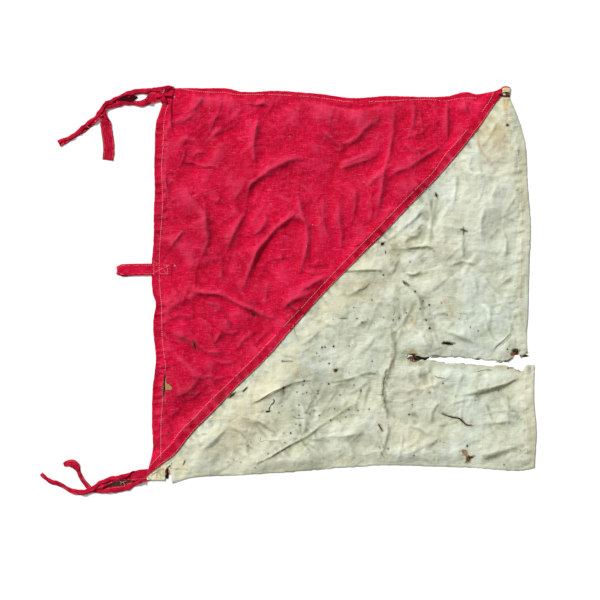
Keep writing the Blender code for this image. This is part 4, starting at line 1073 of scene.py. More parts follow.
    def at(self, x, y, field=None):
        """A grid's value at the points. Without a field, the height of the cloth's underside."""
        field = self.height if field is None else field
        return lookup(field, (x - self.xs[0]) / GRID, (y - self.ys[0]) / GRID)

    def hem_share(self, side, x, y):
        """1 on a turned hem, 0 past its stitched row."""
        share = np.zeros(x.shape)
        for hem_side, path in self.hems:
            if hem_side == side:
                gap, left, _ = nearest(path, x, y)
                share = np.maximum(share, smooth((2.2 + gap * left) / 1.6) * (gap < 22.0))
        return share

    def lap_lift(self, x, y):
        """How much higher the red cloth lies where the cream one is under it."""
        seam_gap, side, _ = nearest(self.seam, x, y)
        inward = np.where(-side > 0.0, seam_gap, 0.0)
        lap = LAP_RISE * (1.0 - smooth((inward - LAP_WIDTH) / 15.0))
        crest = LAP_CREST * np.exp(-((inward - LAP_WIDTH + 0.8) / 5.0) ** 2)
        crest = np.where(inward > LAP_WIDTH, crest * 0.8, crest)
        return lap + crest

    def under(self, side, x, y):
        """The underside of one cloth. The red one rides over the cream one."""
        return self.at(x, y) + (self.lap_lift(x, y) if side == RED else 0.0)

    def thickness(self, side, x, y):
        cloth = bpy.context.scene.flag_cloth
        plain = cloth.cloth_thickness
        return (plain + (cloth.hem_thickness - plain) * self.hem_share(side, x, y)) / MM

    def top(self, side, x, y):
        return self.under(side, x, y) + self.thickness(side, x, y)


def lookup(field, column, row):
    """Bilinear reading of a grid."""
    column = np.clip(column, 0.0, field.shape[1] - 1.001)
    row = np.clip(row, 0.0, field.shape[0] - 1.001)
    j = column.astype(int)
    i = row.astype(int)
    s = column - j
    t = row - i
    return ((1 - t) * ((1 - s) * field[i, j] + s * field[i, j + 1])
            + t * ((1 - s) * field[i + 1, j] + s * field[i + 1, j + 1]))


@functools.cache
def relief():
    """The relief is worked out once and shared by all the operators."""
    return Relief(bpy.context.scene.flag_cloth)


# ---------------------------------------------------------------- meshes

def new_mesh(name, points, faces):
    """A smooth mesh from points in millimetres."""
    mesh = bpy.data.meshes.new(name)
    points = np.asarray(points, float)
    points = np.column_stack([points[:, :2], np.maximum(points[:, 2], FLOOR_GAP)])
    mesh.from_pydata((points * MM).tolist(), [], faces)
    mesh.polygons.foreach_set("use_smooth", [True] * len(mesh.polygons))
    mesh.update()
    return mesh


def new_piece(name, mesh, material, slot, nodes=()):
    """Adds a piece that rides on the flag and stands for the CAD nodes given."""
    piece = bpy.data.objects.new(name, mesh)
    bpy.context.scene.collection.objects.link(piece)
    mesh.materials.append(material)
    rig.ride(piece, BODY)
    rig.slot(piece, slot)
    for node in nodes:
        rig.replaces(piece, node)
    return piece


def strand_mesh(name, paths, radii, sides, taper):
    """Thin round strands, each along its own path of points."""
    points = []
    faces = []
    for path, radius in zip(paths, radii):
        path = np.asarray(path, float)
        run = unit(np.gradient(path, axis=0), TINY)
        across = np.cross(run, (0.0, 0.0, 1.0))
        flat = np.linalg.norm(across, axis=1)[:, None]
        across = np.where(flat > 0.05, unit(across, TINY), (1.0, 0.0, 0.0))
        up = np.cross(across, run)
        count = len(path)
        scale = np.ones(count)
        scale[0] = scale[-1] = taper
        first = len(points)
        for place, a, u, size in zip(path, across, up, scale):
            for angle in circle(sides):
                points.append(place + (a * math.cos(angle) + u * math.sin(angle)) * radius * size)
        for k in range(count - 1):
            for s in range(sides):
                t = (s + 1) % sides
                low = first + k * sides
                high = low + sides
                faces.append((low + s, high + s, high + t, low + t))
        faces.append(tuple(range(first, first + sides)))
        faces.append(tuple(reversed(range(len(points) - sides, len(points)))))
    return new_mesh(name, points, faces)


# ---------------------------------------------------------------- materials

def add_node(tree, kind, inputs=(), **settings):
    """Adds a node with its settings. Each input is (name or index, value or the output that feeds it)."""
    node = tree.nodes.new(kind)
    for key, value in settings.items():
        setattr(node, key, value)
    for key, value in inputs:
        if isinstance(value, bpy.types.NodeSocket):
            tree.links.new(value, node.inputs[key])
        else:
            node.inputs[key].default_value = value
    return node


def rgba(colour):
    return (*colour, 1.0)


def new_material(name, roughness, sheen, specular):
    """A matte cloth shader whose even values sit on its own sockets."""
    material = bpy.data.materials.new(name)
    material.use_nodes = True
    tree = material.node_tree
    shader = tree.nodes["Principled BSDF"]
    for socket, value in (("Roughness", roughness), ("Sheen Weight", sheen), ("Sheen Roughness", 0.5),
                          ("Specular IOR Level", specular), ("IOR", 1.5)):
        shader.inputs[socket].default_value = value
    return material, tree, shader


def layered(tree, colour, layers):
    """Lays colours over the first one in turn. A layer is (value, gain, offset, colour), and it shows where
    its value times gain plus offset is above 0."""
    colour = rgba(colour)
    for value, gain, offset, over in layers:
        share = add_node(tree, "ShaderNodeMath", ((0, value), (1, gain), (2, offset)),
                         operation="MULTIPLY_ADD", use_clamp=True).outputs[0]
        colour = add_node(tree, "ShaderNodeMix", ((0, share), (6, colour), (7, rgba(over))),
                          data_type="RGBA").outputs[2]
    return colour


def finished(material, tree, shader, colour, height, strength, distance):
    """The material with its colour, and with a bump of that height."""
    bump = add_node(tree, "ShaderNodeBump", (("Strength", strength), ("Distance", distance),
                    ("Height", height)))
    tree.links.new(colour, shader.inputs["Base Color"])
    tree.links.new(bump.outputs[0], shader.inputs["Normal"])
    return material


def stretched(tree, coordinate, per_metre_x, per_metre_y, detail, roughness=0.6):
    """Noise drawn out along one thread direction, as slubs are."""
    place = add_node(tree, "ShaderNodeMapping", (("Vector", coordinate),
                     ("Scale", (per_metre_x, per_metre_y, 60.0))))
    noise = add_node(tree, "ShaderNodeTexNoise", (("Vector", place.outputs[0]), ("Scale", 1.0),
                     ("Detail", detail), ("Roughness", roughness)))
    return noise.outputs["Fac"]


def wave_scale(pitch):
    """A wave texture's scale for bands that are pitch metres apart."""
    return 2.0 * math.pi / (20.0 * pitch)


def weave(tree, coordinate, pitch):
    """Warp and weft as two sets of bands. Returns their height."""
    bands = []
    for direction in ("X", "Y"):
        node = add_node(tree, "ShaderNodeTexWave", (("Vector", coordinate), ("Scale", wave_scale(pitch)),
                        ("Distortion", 1.3), ("Detail", 2.0), ("Detail Scale", 0.6)),
                        wave_type="BANDS", bands_direction=direction)
        bands.append(node.outputs["Fac"])
    return add_node(tree, "ShaderNodeMath", ((0, bands[0]), (1, bands[1])), operation="MULTIPLY").outputs[0]


def sharp_crumples(tree, place):
    """The heights of large and small sharp-edged crumples, from 9 to 53 mm across. Each comes from two sets
    of cells, stretched different ways."""
    sway = add_node(tree, "ShaderNodeTexNoise", (("Vector", place), ("Scale", 24.0), ("Detail", 3.0)))
    swayed = add_node(tree, "ShaderNodeVectorMath", ((0, sway.outputs["Color"]), (1, (0.022, 0.022, 0.022)),
                      (2, place)), operation="MULTIPLY_ADD").outputs[0]
    crumples = []
    for scale, turn in (((34.0, 19.0, 30.0), 0.35), ((26.0, 46.0, 40.0), 0.6), ((88.0, 56.0, 80.0), -0.4),
                        ((70.0, 110.0, 90.0), 0.9)):
        spot = add_node(tree, "ShaderNodeMapping", (("Vector", swayed), ("Rotation", (0.0, 0.0, turn)),
                        ("Scale", scale))).outputs[0]
        cells = add_node(tree, "ShaderNodeTexVoronoi", (("Vector", spot), ("Scale", 1.0)))
        crumples.append(cells.outputs["Distance"])
    return [add_node(tree, "ShaderNodeMath", ((0, first), (1, second)), operation="SUBTRACT").outputs[0]
            for first, second in (crumples[:2], crumples[2:])]


def bunting_material(name, base, settings, tints, fade, shade, drift, mildew, crease_dirt_and_shade, rubbed, relief_share):
    """Plain-woven cotton bunting: slubby yarns catch the light in short streaks, crests are painted paler as rubbed
    wear and highlight, troughs and the lap are painted darker as shade, and creases are darkened as soiling and
    painted shade. Stains are point attributes on the cloth, and mildew is fine dots in its weave."""
    material, tree, shader = new_material(name, 0.92, 0.02, 0.06)
    place = add_node(tree, "ShaderNodeTexCoord").outputs["Object"]
    mark = {key: add_node(tree, "ShaderNodeAttribute", attribute_name=key).outputs["Fac"]
            for key in ("lap", "fold", "crevice", *(tint for tint, _ in tints))}
    # Slubs are about 2 mm wide and 11 mm long.
    weft = stretched(tree, place, 90.0, 520.0, 5.0, 0.75)
    warp = stretched(tree, place, 560.0, 90.0, 5.0, 0.75)
    # Blotches of 60 mm, drifts of 200 mm and flecks of a yarn or two, 2.3 mm.
    blotch, wide, fleck = (
        add_node(tree, "ShaderNodeTexNoise", (("Vector", place), ("Scale", scale), ("Detail", detail),
                 ("Roughness", rough))).outputs["Fac"]
        for scale, detail, rough in ((17.0, 6.0, 0.68), (5.0, 4.0, 0.6), (430.0, 3.0, 0.8)))
    # Fine crinkles 10 mm apart.
    crinkle = add_node(tree, "ShaderNodeTexNoise", (("Vector", place), ("Scale", 95.0), ("Detail", 4.0),
                       ("Roughness", 0.55), ("Distortion", 0.4)), noise_type="RIDGED_MULTIFRACTAL",
                       normalize=True).outputs["Fac"]
    large_crumple, small_crumple = sharp_crumples(tree, place)

    # Grime and painted shade sit in the creases where the cloth is blotched, in the mildew colour, and mildew dots it
    # where it was damp.
    dots = add_node(tree, "ShaderNodeTexVoronoi", (("Vector", place), ("Scale", mildew[0])))
    dotted = add_node(tree, "ShaderNodeMath", ((0, dots.outputs["Distance"]), (1, mildew[1])),
                      operation="LESS_THAN").outputs[0]
    dirt_and_shade_masks = []
    for value, gain, offset, within in ((blotch, 5.0, -1.9, mark["crevice"]), (wide, 7.0, -3.3, dotted)):
        share = add_node(tree, "ShaderNodeMath", ((0, value), (1, gain), (2, offset)),
                         operation="MULTIPLY_ADD", use_clamp=True).outputs[0]
        dirt_and_shade_masks.append(add_node(tree, "ShaderNodeMath", ((0, within), (1, share)), operation="MULTIPLY",
                              use_clamp=True).outputs[0])
    crease_grime_and_shade, spots = dirt_and_shade_masks

    # The lap is painted darker as shade; fold paints crests paler, as rubbed wear and painted highlight by the share
    # rubbed, and troughs darker as painted shade; the crinkles' lines are painted darker; creases take grime and
    # painted shade.
    colour = layered(tree, base, (
        (wide, 4.5, -1.95, drift), (blotch, 2.4, -0.85, shade), (fleck, -4.0, 1.55, shade),
        (weft, 5.2, -2.8, fade), (warp, 4.0, -2.2, fade), (weft, -4.4, 2.0, shade),
        (fleck, 5.0, -2.75, fade), (mark["lap"], 0.25, 0.0, shade), (mark["fold"], rubbed, 0.0, fade),
        (mark["fold"], -0.4, 0.0, shade), (crinkle, 2.2, -1.25, shade), (crease_grime_and_shade, crease_dirt_and_shade, 0.0, mildew[2]),
        (spots, 0.75, 0.0, mildew[2]), *((mark[tint], 1.0, 0.0, dye) for tint, dye in tints)))

    height = add_node(tree, "ShaderNodeMath", ((0, weft), (1, warp)), operation="ADD").outputs[0]
    for field, share in ((weave(tree, place, settings.weave_pitch), 0.5), (crinkle, 1.5),
                         (large_crumple, 4.2 * relief_share), (small_crumple, 2.0 * relief_share)):
        height = add_node(tree, "ShaderNodeMath", ((0, field), (1, share), (2, height)),
                          operation="MULTIPLY_ADD").outputs[0]
    return finished(material, tree, shader, colour, height, 0.8, 0.0007)


def tape_material(name, base, fade, shade, pitch):
    """Folded cotton tape: a tighter weave than the bunting's, soiled in blotches."""
    material, tree, shader = new_material(name, 0.9, 0.02, 0.06)
    place = add_node(tree, "ShaderNodeUVMap", uv_map="tape").outputs[0]
    solid = add_node(tree, "ShaderNodeTexCoord").outputs["Object"]
    slub = stretched(tree, place, 120.0, 760.0, 4.0)
    # Soiled in blotches as wide as the tape, 17 mm.
    blotch = add_node(tree, "ShaderNodeTexNoise", (("Vector", solid), ("Scale", 60.0), ("Detail", 5.0),
                      ("Roughness", 0.65))).outputs["Fac"]
    colour = layered(tree, base, ((blotch, 2.6, -0.9, shade), (slub, 3.2, -1.6, fade)))
    height = add_node(tree, "ShaderNodeMath", ((0, weave(tree, place, pitch)), (1, slub)),
                      operation="ADD").outputs[0]
    return finished(material, tree, shader, colour, height, 0.6, 0.0004)


def thread_material(name, base, shade):
    """Spun sewing cotton: matt, with its twist too fine to see, so only its colour varies from stitch to
    stitch."""
    material, tree, shader = new_material(name, 0.85, 0.1, 0.2)
    place = add_node(tree, "ShaderNodeTexCoord").outputs["Object"]
    # Its colour drifts over about one stitch and a half, 4 mm.
    drift = add_node(tree, "ShaderNodeTexNoise", (("Vector", place), ("Scale", 240.0),
                     ("Detail", 3.0))).outputs["Fac"]
    colour = layered(tree, base, ((drift, 2.6, -0.9, shade),))
    return finished(material, tree, shader, colour, drift, 0.4, 0.0002)


def grained_material(name, base, shade):
    """Rotted cotton: brittle brown to black fibre with a ragged grain. Its dark tones also make the sheets of painted
    shade under the holes and inside the folded tapes.
    """
    material, tree, shader = new_material(name, 0.95, 0.05, 0.1)
    place = add_node(tree, "ShaderNodeTexCoord").outputs["Object"]
    # The grain is a yarn and a half wide, 2.4 mm.
    grain = add_node(tree, "ShaderNodeTexNoise", (("Vector", place), ("Scale", 420.0), ("Detail", 6.0),
                     ("Roughness", 0.7))).outputs["Fac"]
    colour = layered(tree, base, ((grain, 3.2, -1.1, shade),))
    return finished(material, tree, shader, colour, grain, 0.8, 0.0006)


def kept_material(name, make, *values):
    """The material of that name, made on its first use."""
    found = bpy.data.materials.get(name)
    return found if found is not None else make(name, *values)


# ---------------------------------------------------------------- the two panels

def tree_of(points):
    """A search tree of flat points."""
    tree = kdtree.KDTree(len(points))
    for index, (x, y) in enumerate(points):
        tree.insert((x, y, 0.0), index)
    tree.balance()
    return tree


def gaps_to(edge, points):
    """How far each point is from the nearest of an edge's."""
    tree = tree_of(edge)
    return np.array([tree.find((x, y, 0.0))[2] for x, y in points])


def on_cloth(loops, points):
    """Which points lie within the outline and outside the holes."""
    keep = inside(loops[0], *points.T)
    for loop in loops[1:]:
        keep &= ~inside(loop, *points.T)
    return keep


def free_points(loops, extra):
    """A staggered grid of points on the cloth, clear of its edges and of the extra ones, then those."""
    low = loops[0].min(axis=0)
    high = loops[0].max(axis=0)
    ys = np.arange(low[1], high[1], MESH_STEP * math.sqrt(3.0) / 2.0)
    x, y = np.meshgrid(np.arange(low[0], high[0], MESH_STEP), ys)
    x = x + (np.arange(len(ys)) % 2)[:, None] * MESH_STEP / 2.0
    points = np.stack([x.ravel(), y.ravel()], axis=1)
    points = points[on_cloth(loops, points)]
    extra = extra[on_cloth(loops, extra)]
    edge = np.vstack(loops)
    extra = extra[gaps_to(edge, extra) > POINT_GAP]
    gaps = gaps_to(np.vstack([edge, extra]), points)
    return np.vstack([points[gaps > 0.62 * MESH_STEP], extra])


def thinned(points, gap):
    """The points, without those that lie closer than gap to an earlier one."""
    tree = tree_of(points)
    keep = [min(found[1] for found in tree.find_range((x, y, 0.0), gap)) == index
            for index, (x, y) in enumerate(points)]
    return points[keep]


def ring(x, y, radius, count, turn=0.0):
    """Even points round a place."""
    angles = circle(count) + turn
    return np.stack([x + radius * np.cos(angles), y + radius * np.sin(angles)], axis=1)


def marks_of(side):
    """Each mark's tint, half width, strength and path. The red cloth's folds and hem bands get painted shade."""
    marks = [(tint, half, strength, pairs(path))
             for tint, rows in MARKS[side].items() for half, strength, *path in rows]
    if side == RED:
        marks += [(DYE_AND_SHADE, HOIST_BAND_HALF, 0.6 * strength, ((-209, y - 3), (-198, y - 1.5), (-187, y - 0.5)))
                  for y, strength in HOIST_PUCKERS]
        marks += [(DYE_AND_SHADE, FOLD_HALF, 0.42, pairs(path)) for _, _, *path in RED_CREASES[DROP]]
    return marks


def stain_values(side, x, y):
    """The strength of each tint at the points."""
    shape = relief()
    values = {tint: np.zeros(x.shape) for tint in TINTS}
    warp = 0.24 * shape.at(x, y, shape.mottle) + 0.13 * shape.at(x, y, shape.speckle)
    stains = ((tint, *row) for tint, rows in STAINS[side].items() for row in rows)
    for tint, centre_x, centre_y, length, width, turn, strength in stains:
        angle = math.radians(turn)
        dx = x - centre_x
        dy = y - centre_y
        u = (dx * math.cos(angle) + dy * math.sin(angle)) / length
        v = (-dx * math.sin(angle) + dy * math.cos(angle)) / width
        gap = np.hypot(u, v) + warp * (0.6 if min(length, width) < 4.0 else 1.0)
        soft = 0.45 if tint in (CHAR_AND_SHADE, RUST) else 0.9
        share = strength * smooth((1.15 - gap) / soft)
        values[tint] = covered(values[tint], share)
    for tint, half, strength, path in marks_of(side):
        path = spline(path, 1.5)
        low = path.min(axis=0) - 5.0
        high = path.max(axis=0) + 5.0
        near = (x > low[0]) & (x < high[0]) & (y > low[1]) & (y < high[1])
        gap, _, share = nearest(path, x[near], y[near])
        broken = np.clip(1.0 + 1.6 * warp[near], 0.35, 1.0)
        ends = smooth(np.minimum(share, 1.0 - share) * 8.0 + 0.3)
        line = strength * (broken * ends) * smooth(1.6 - gap / half)
        values[tint][near] = covered(values[tint][near], line)
    if side == CREAM:
        ringed = spline(TIDE + TIDE[:1], 5.0)
        gap, _, _ = nearest(ringed, x, y)
        left = smooth((330.0 - x) / 50.0)
        line = 0.9 * left * np.exp(-((gap + 1.2 * warp) / TIDE_WIDTH) ** 2)
        values[TAN] = covered(values[TAN], line)
    return values


def cloth_loops(side, rng):
    """The cloth's outline, then its holes, tears and slits. A tear takes the place of a CAD hole near it."""
    loops = [refine(loop, rng, EDGE_WEAR) for loop in node_loops(f"{side}_panel")]
    places = [np.mean(tear, axis=0) for tear in TEARS[side]]
    torn = [loop for loop in loops[1:]
            if all(np.hypot(*(loop.mean(axis=0) - place)) > TEAR_REACH for place in places)]
    torn += [even(np.array(tear + tear[:1])[::-1], 1.1)[:-1] for tear in TEARS[side]]
    torn += [slit_loop(width, pairs(path), rng) for width, *path in SLITS[side]]
    torn += [hole_loop(*pinhole, rng) for pinhole in PINHOLES[side]]
    return loops[:1] + torn


def mark_points(side, specks):
    """Points round the small holes and specks and along the marks, so that their edges show sharp."""
    points = [ring(x, y, radius + 0.9, 11) for x, y, radius in PINHOLES[side]]
    for place, radius in specks:
        points += [ring(*place, 0.0, 1), ring(*place, radius * 0.8, 6), ring(*place, radius + 0.8, 9, 0.3)]
    for _, half, _, path in marks_of(side):
        if half == HOIST_BAND_HALF:
            continue
        path = spline(path, 1.4)
        across = left_of(unit(np.gradient(path, axis=0), TINY))
        for offset in ((-0.7, 0.7) if half == FOLD_HALF else (-1.7, -0.6, 0.6, 1.7)):
            points.append(path + across * offset * half)
    return thinned(np.vstack(points), POINT_GAP)


def triangulated(loops, points):
    """The spots and faces that fill the outline and leave the holes open."""
    edges = []
    first = 0
    for loop in loops:
        count = len(loop)
        edges += [(first + i, first + (i + 1) % count) for i in range(count)]
        first += count
    flat = np.vstack(loops + [points])
    fill_outline = 1
    spots, _, faces, _, _, _ = delaunay_2d_cdt((flat * MM).tolist(), edges, [], fill_outline, 1e-8)
    spots = np.array([(p[0], p[1]) for p in spots]) / MM
    faces = np.array([face for face in faces if len(face) == 3])
    middle = spots[faces].mean(axis=1)
    for loop in loops[1:]:
        clear = ~inside(loop, *middle.T)
        faces, middle = faces[clear], middle[clear]
    a, b, c = (spots[faces[:, k]] for k in range(3))
    area = (b[:, 0] - a[:, 0]) * (c[:, 1] - a[:, 1]) - (b[:, 1] - a[:, 1]) * (c[:, 0] - a[:, 0])
    faces[area < 0] = faces[area < 0][:, ::-1]
    used, faces = np.unique(faces[np.abs(area) > LEAST_AREA], return_inverse=True)
    return spots[used], faces.reshape(-1, 3)


def sheet_mesh(name, spots, faces, under, thick):
    """A closed thin sheet with a rounded edge. Also which of its spots lie along that edge."""
    count = len(spots)
    ends = np.concatenate([faces[:, (0, 1)], faces[:, (1, 2)], faces[:, (2, 0)]]).astype(np.int64)
    rim = ends[~np.isin(ends[:, 0] * count + ends[:, 1], ends[:, 1] * count + ends[:, 0])]
    rim_spots = np.unique(rim)
    away = -left_of(spots[rim[:, 1]] - spots[rim[:, 0]])
    outward = np.zeros((count, 2))
    np.add.at(outward, rim[:, 0], away)
    np.add.at(outward, rim[:, 1], away)
    outward = unit(outward, TINY)
    to_bulge = np.full(count, -1)
    to_bulge[rim_spots] = 2 * count + np.arange(len(rim_spots))
    bulge = spots[rim_spots] + outward[rim_spots] * (thick[rim_spots][:, None] * 0.28)
    points = np.vstack([np.column_stack([spots, under + thick]), np.column_stack([spots, under]),
                        np.column_stack([bulge, (under + thick * 0.5)[rim_spots]])])
    i, j = rim.T
    sides = np.vstack([np.column_stack([j, i, to_bulge[i], to_bulge[j]]),
                       np.column_stack([to_bulge[j], to_bulge[i], i + count, j + count])])
    mesh = new_mesh(name, points, faces.tolist() + (faces[:, ::-1] + count).tolist() + sides.tolist())
    return mesh, rim_spots


def build_panel(side, material):
    """One cloth, with its wear as point attributes."""
    shape = relief()
    loops = cloth_loops(side, dice(11 if side == RED else 23))
    specks = [(place, radius) for radius, row in SPECKS[side].items() for place in pairs(row)]
    spots, faces = triangulated(loops, free_points(loops, mark_points(side, specks)))
    x, y = spots.T
    name = f"{side}_cloth"
    mesh, rim_spots = sheet_mesh(name, spots, faces, shape.under(side, x, y), shape.thickness(side, x, y))

    values = stain_values(side, x, y)
    gaps = gaps_to(np.vstack(loops[1:]), spots)
    # The rims of the holes are browned for 3 mm, and their last 0.7 mm is charred.
    values[CHAR_AND_SHADE] = np.maximum(values[CHAR_AND_SHADE], 0.5 * smooth((0.7 - gaps) / 0.6))
    worn = 0.35 if side == CREAM else 0.1
    values[TAN] = np.maximum(values[TAN], worn * smooth((3.0 - gaps) / 2.6))
    for place, radius in specks:
        gap = np.hypot(x - place[0], y - place[1])
        values[CHAR_AND_SHADE] = np.maximum(values[CHAR_AND_SHADE], 0.95 * smooth((radius + 1.0 - gap) / 0.8))
    seam_gap, seam_side, _ = nearest(shape.seam, x, y)
    # lap, fold and crevice drive the material's painted shade on the lap band, in troughs and crevices, and its
    # painted highlight with wear on crests.
    values["lap"] = (seam_side < 0.0) * smooth((LAP_WIDTH + 0.8 - seam_gap) / 1.6)
    values["fold"] = shape.at(x, y, shape.fold)
    values["crevice"] = shape.at(x, y, shape.crevice)
    for key, value in values.items():
        layer = mesh.attributes.new(key, "FLOAT", "POINT")
        layer.data.foreach_set("value", np.concatenate([value, value, value[rim_spots]]).astype(np.float32))
    new_piece(name, mesh, material, f"{side}_bunting", (f"{side}_panel",))
    corners = spots[faces]
    cut_area = 0.5 * np.abs(np.cross(corners[:, 1] - corners[:, 0], corners[:, 2] - corners[:, 0])).sum()
    MEASURED[name] = cut_area * MM * MM


# ---------------------------------------------------------------- tapes

BEND = 1.9                # length of tape taken up by a fold
SECTION = (6, 7, 5)       # points before, in and after the fold


def section(width, full, turn):
    """The mid-line of a tape that folds over by turn degrees where it reaches width. Also the place of each
    of its points across the tape."""
    start = max(min(width - BEND * 0.4, full - BEND - 0.4), 0.8)
    s = np.concatenate([np.linspace(0.0, start, SECTION[0], endpoint=False),
                        np.linspace(start, start + BEND, SECTION[1], endpoint=False),
                        np.linspace(start + BEND, full, SECTION[2])])
    middle = (s[1:] + s[:-1]) / 2.0
    angle = math.radians(turn) * smooth((middle - start) / BEND)
    step = np.diff(s)
    across = summed(np.cos(angle) * step)
    up = summed(np.sin(angle) * step)
    heading = np.concatenate([angle[:1], (angle[1:] + angle[:-1]) / 2.0, angle[-1:]])
    across -= (across.max() + across.min()) / 2.0
    return s, np.stack([across, up], axis=1), np.stack([-np.sin(heading), np.cos(heading)], axis=1)


def tape_rings(places, across, widths, turns, rolls, lows, rng, crumple):
    """Rings of points round a tape: its upper side, an edge, its lower side and the other edge."""
    settings = bpy.context.scene.flag_tape
    full = settings.width / MM
    half = settings.thickness / MM / 2.0
    run = unit(np.gradient(places, axis=0))
    along = lengths_along(places)
    phases = rng.uniform(0.0, 2.0 * math.pi, 9)
    reach = 1.72 + 0.2 * np.sin(along / 9.0 + phases[3]) + 0.08 * np.sin(along / 3.1 + phases[4])
    pinch = 1.0 + 0.1 * np.sin(along / 6.5 + phases[5]) + 0.06 * np.sin(along / 2.6 + phases[6])
    lean = 9.0 * np.sin(along / 8.0 + phases[7]) + 5.0 * np.sin(along / 3.4 + phases[8])
    rings = []
    spots = []
    for k, place in enumerate(places):
        a = across[k] - run[k] * np.dot(across[k], run[k])
        a /= np.linalg.norm(a)
        u = np.cross(run[k], a)
        if lows is not None and u[2] < 0.0:
            u = -u
        angle = math.radians(rolls[k] + lean[k] * min(turns[k] / 90.0, 1.0))
        a, u = a * math.cos(angle) + u * math.sin(angle), u * math.cos(angle) - a * math.sin(angle)
        width = widths[k] * (pinch[k] if turns[k] > 40.0 else 1.0)
        folded = float(smooth((turns[k] - 20.0) / 60.0))
        flat = width * 1.02 + 0.6
        whole = min(full, flat) * (1.0 - folded) + min(full, reach[k] * width) * folded
        s, line, normal = section(width, max(whole, flat), turns[k])
        wave = (np.sin(along[k] / 2.9 + s / 3.1 + phases[0]) + np.sin(along[k] / 1.7 - s / 4.3 + phases[1])
                + 0.8 * np.sin(along[k] / 5.3 + s / 2.1 + phases[2]))
        line = line + normal * (crumple * wave)[:, None]
        upper = line + normal * half
        lower = (line - normal * half)[::-1]
        tip = line[-1] + (line[-1] - line[-2]) / np.linalg.norm(line[-1] - line[-2]) * half * 0.8
        tail = line[0] + (line[0] - line[1]) / np.linalg.norm(line[0] - line[1]) * half * 0.8
        outline = np.vstack([upper, tip, lower, tail])
        points = place + outline[:, :1] * a + outline[:, 1:] * u
        if lows is not None:
            points[:, 2] += lows[k] - points[:, 2].min()
        rings.append(points)
        spots.append(np.concatenate([s, s[-1:], s[::-1], s[:1]]))
    return np.array(rings), np.array(spots), along


def tape_mesh(name, rings, spots, along):
    count, size, _ = rings.shape
    points = rings.reshape(-1, 3)
    faces = []
    for k in range(count - 1):
        for s in range(size):
            t = (s + 1) % size
            faces.append((k * size + s, (k + 1) * size + s, (k + 1) * size + t, k * size + t))
    k = (size - 2) // 2
    for base, flip in ((0, False), ((count - 1) * size, True)):
        caps = [(i, i + 1, 2 * k - i - 1, 2 * k - i) for i in range(k - 1)]
        caps += [(k - 1, k, k + 1), (0, 2 * k, 2 * k + 1)]
        for cap in caps:
            cap = [base + i for i in cap]
            faces.append(tuple(cap[::-1] if flip else cap))
    mesh = new_mesh(name, points, faces)
    layer = mesh.uv_layers.new(name="tape")
    u = np.repeat(along, size) * MM
    v = spots.reshape(-1) * MM
    corner = np.zeros(len(mesh.loops), np.int32)
    mesh.loops.foreach_get("vertex_index", corner)
    layer.data.foreach_set("uv", np.stack([u[corner], v[corner]], axis=1).ravel().astype(np.float32))
    return mesh


def stitched_lines(rings, spots, inset):
    """Lines a little in from both edges of a tape, on both of its sides."""
    size = rings.shape[1]
    k = (size - 2) // 2
    lines = []
    for indices in (np.arange(k), np.arange(k + 1, 2 * k + 1)):
        for from_end in (False, True):
            line = []
            for points, s in zip(rings, spots):
                row = s[indices]
                target = row.max() - inset if from_end else row.min() + inset
                order = np.argsort(row)
                line.append([np.interp(target, row[order], column) for column in points[indices][order].T])
            lines.append(np.array(line))
    return lines


def joined_turns(name, turns, rng, crumple):
    """One mesh of several turns of tape, with their UVs."""
    points = []
    faces = []
    uvs = []
    for turn in turns:
        mesh = tape_mesh("turn", *air_band(turn, rng, crumple))
        first = len(points)
        points += [tuple(v.co / MM) for v in mesh.vertices]
        layer = mesh.uv_layers["tape"].data
        for polygon in mesh.polygons:
            faces.append(tuple(first + i for i in polygon.vertices))
            uvs += [tuple(layer[i].uv) for i in polygon.loop_indices]
        bpy.data.meshes.remove(mesh)
    whole = new_mesh(name, points, faces)
    whole.uv_layers.new(name="tape").data.foreach_set("uv", np.array(uvs, np.float32).ravel())
    return whole


# ---------------------------------------------------------------- stitches and loose ends

# A stitch rises out of the cloth and sinks into it again.
STITCH_ARCH = np.array([-0.28, 0.16, 0.24, 0.16, -0.28])
TAPE_PITCH = 3.0


def stitch_paths(row, height, rng):
    """Each stitch of a row as a short arched path on the cloth."""
    settings = bpy.context.scene.flag_thread
    curve = even(spline(row.path, 1.0), 0.5)
    lengths = lengths_along(curve)
    total = lengths[-1]
    pitch = row.pitch
    paths = []
    place = rng.uniform(0.2, 1.0)
    while place + pitch < total:
        share = place / total
        size = pitch * settings.stitch_share * rng.uniform(0.9, 1.08)
        if not any(low < share < high for low, high in row.gaps) and rng.random() > settings.missing:
            ends = np.linspace(place, place + size, 5)
            x = np.interp(ends, lengths, curve[:, 0]) + rng.normal(0.0, 0.08)
            y = np.interp(ends, lengths, curve[:, 1]) + rng.normal(0.0, 0.08)
            paths.append(np.column_stack([x, y, height(x, y) + STITCH_ARCH]))
        place += pitch
    return paths


def line_stitches(line, share, rng):
    """Stitches along a line that is already in place in the air. A share of them is missing."""
    lengths = lengths_along(line)
    stitch = TAPE_PITCH * bpy.context.scene.flag_thread.stitch_share
    paths = []
    place = 0.6
    while place + TAPE_PITCH < lengths[-1]:
        if rng.random() > share:
            paths.append(sampled(line, lengths, np.linspace(place, place + stitch, 4)))
        place += TAPE_PITCH
    return paths


def curl(start, heading, length, bend, rise, rng):
    """A loose thread: a wandering path from start."""
    steps = max(int(length / 0.9), 4)
    place = np.array(start, float)
    path = [place.copy()]
    turn = rng.normal(0.0, bend)
    for k in range(steps):
        turn += rng.normal(0.0, bend * 0.6)
        heading += turn / steps * 2.4
        share = (k + 1) / steps
        place = place + np.array([math.cos(heading), math.sin(heading), 0.0]) * length / steps
        place[2] = start[2] + rise * math.sin(share * math.pi * 0.9)
        path.append(place.copy())
    return np.array(path)


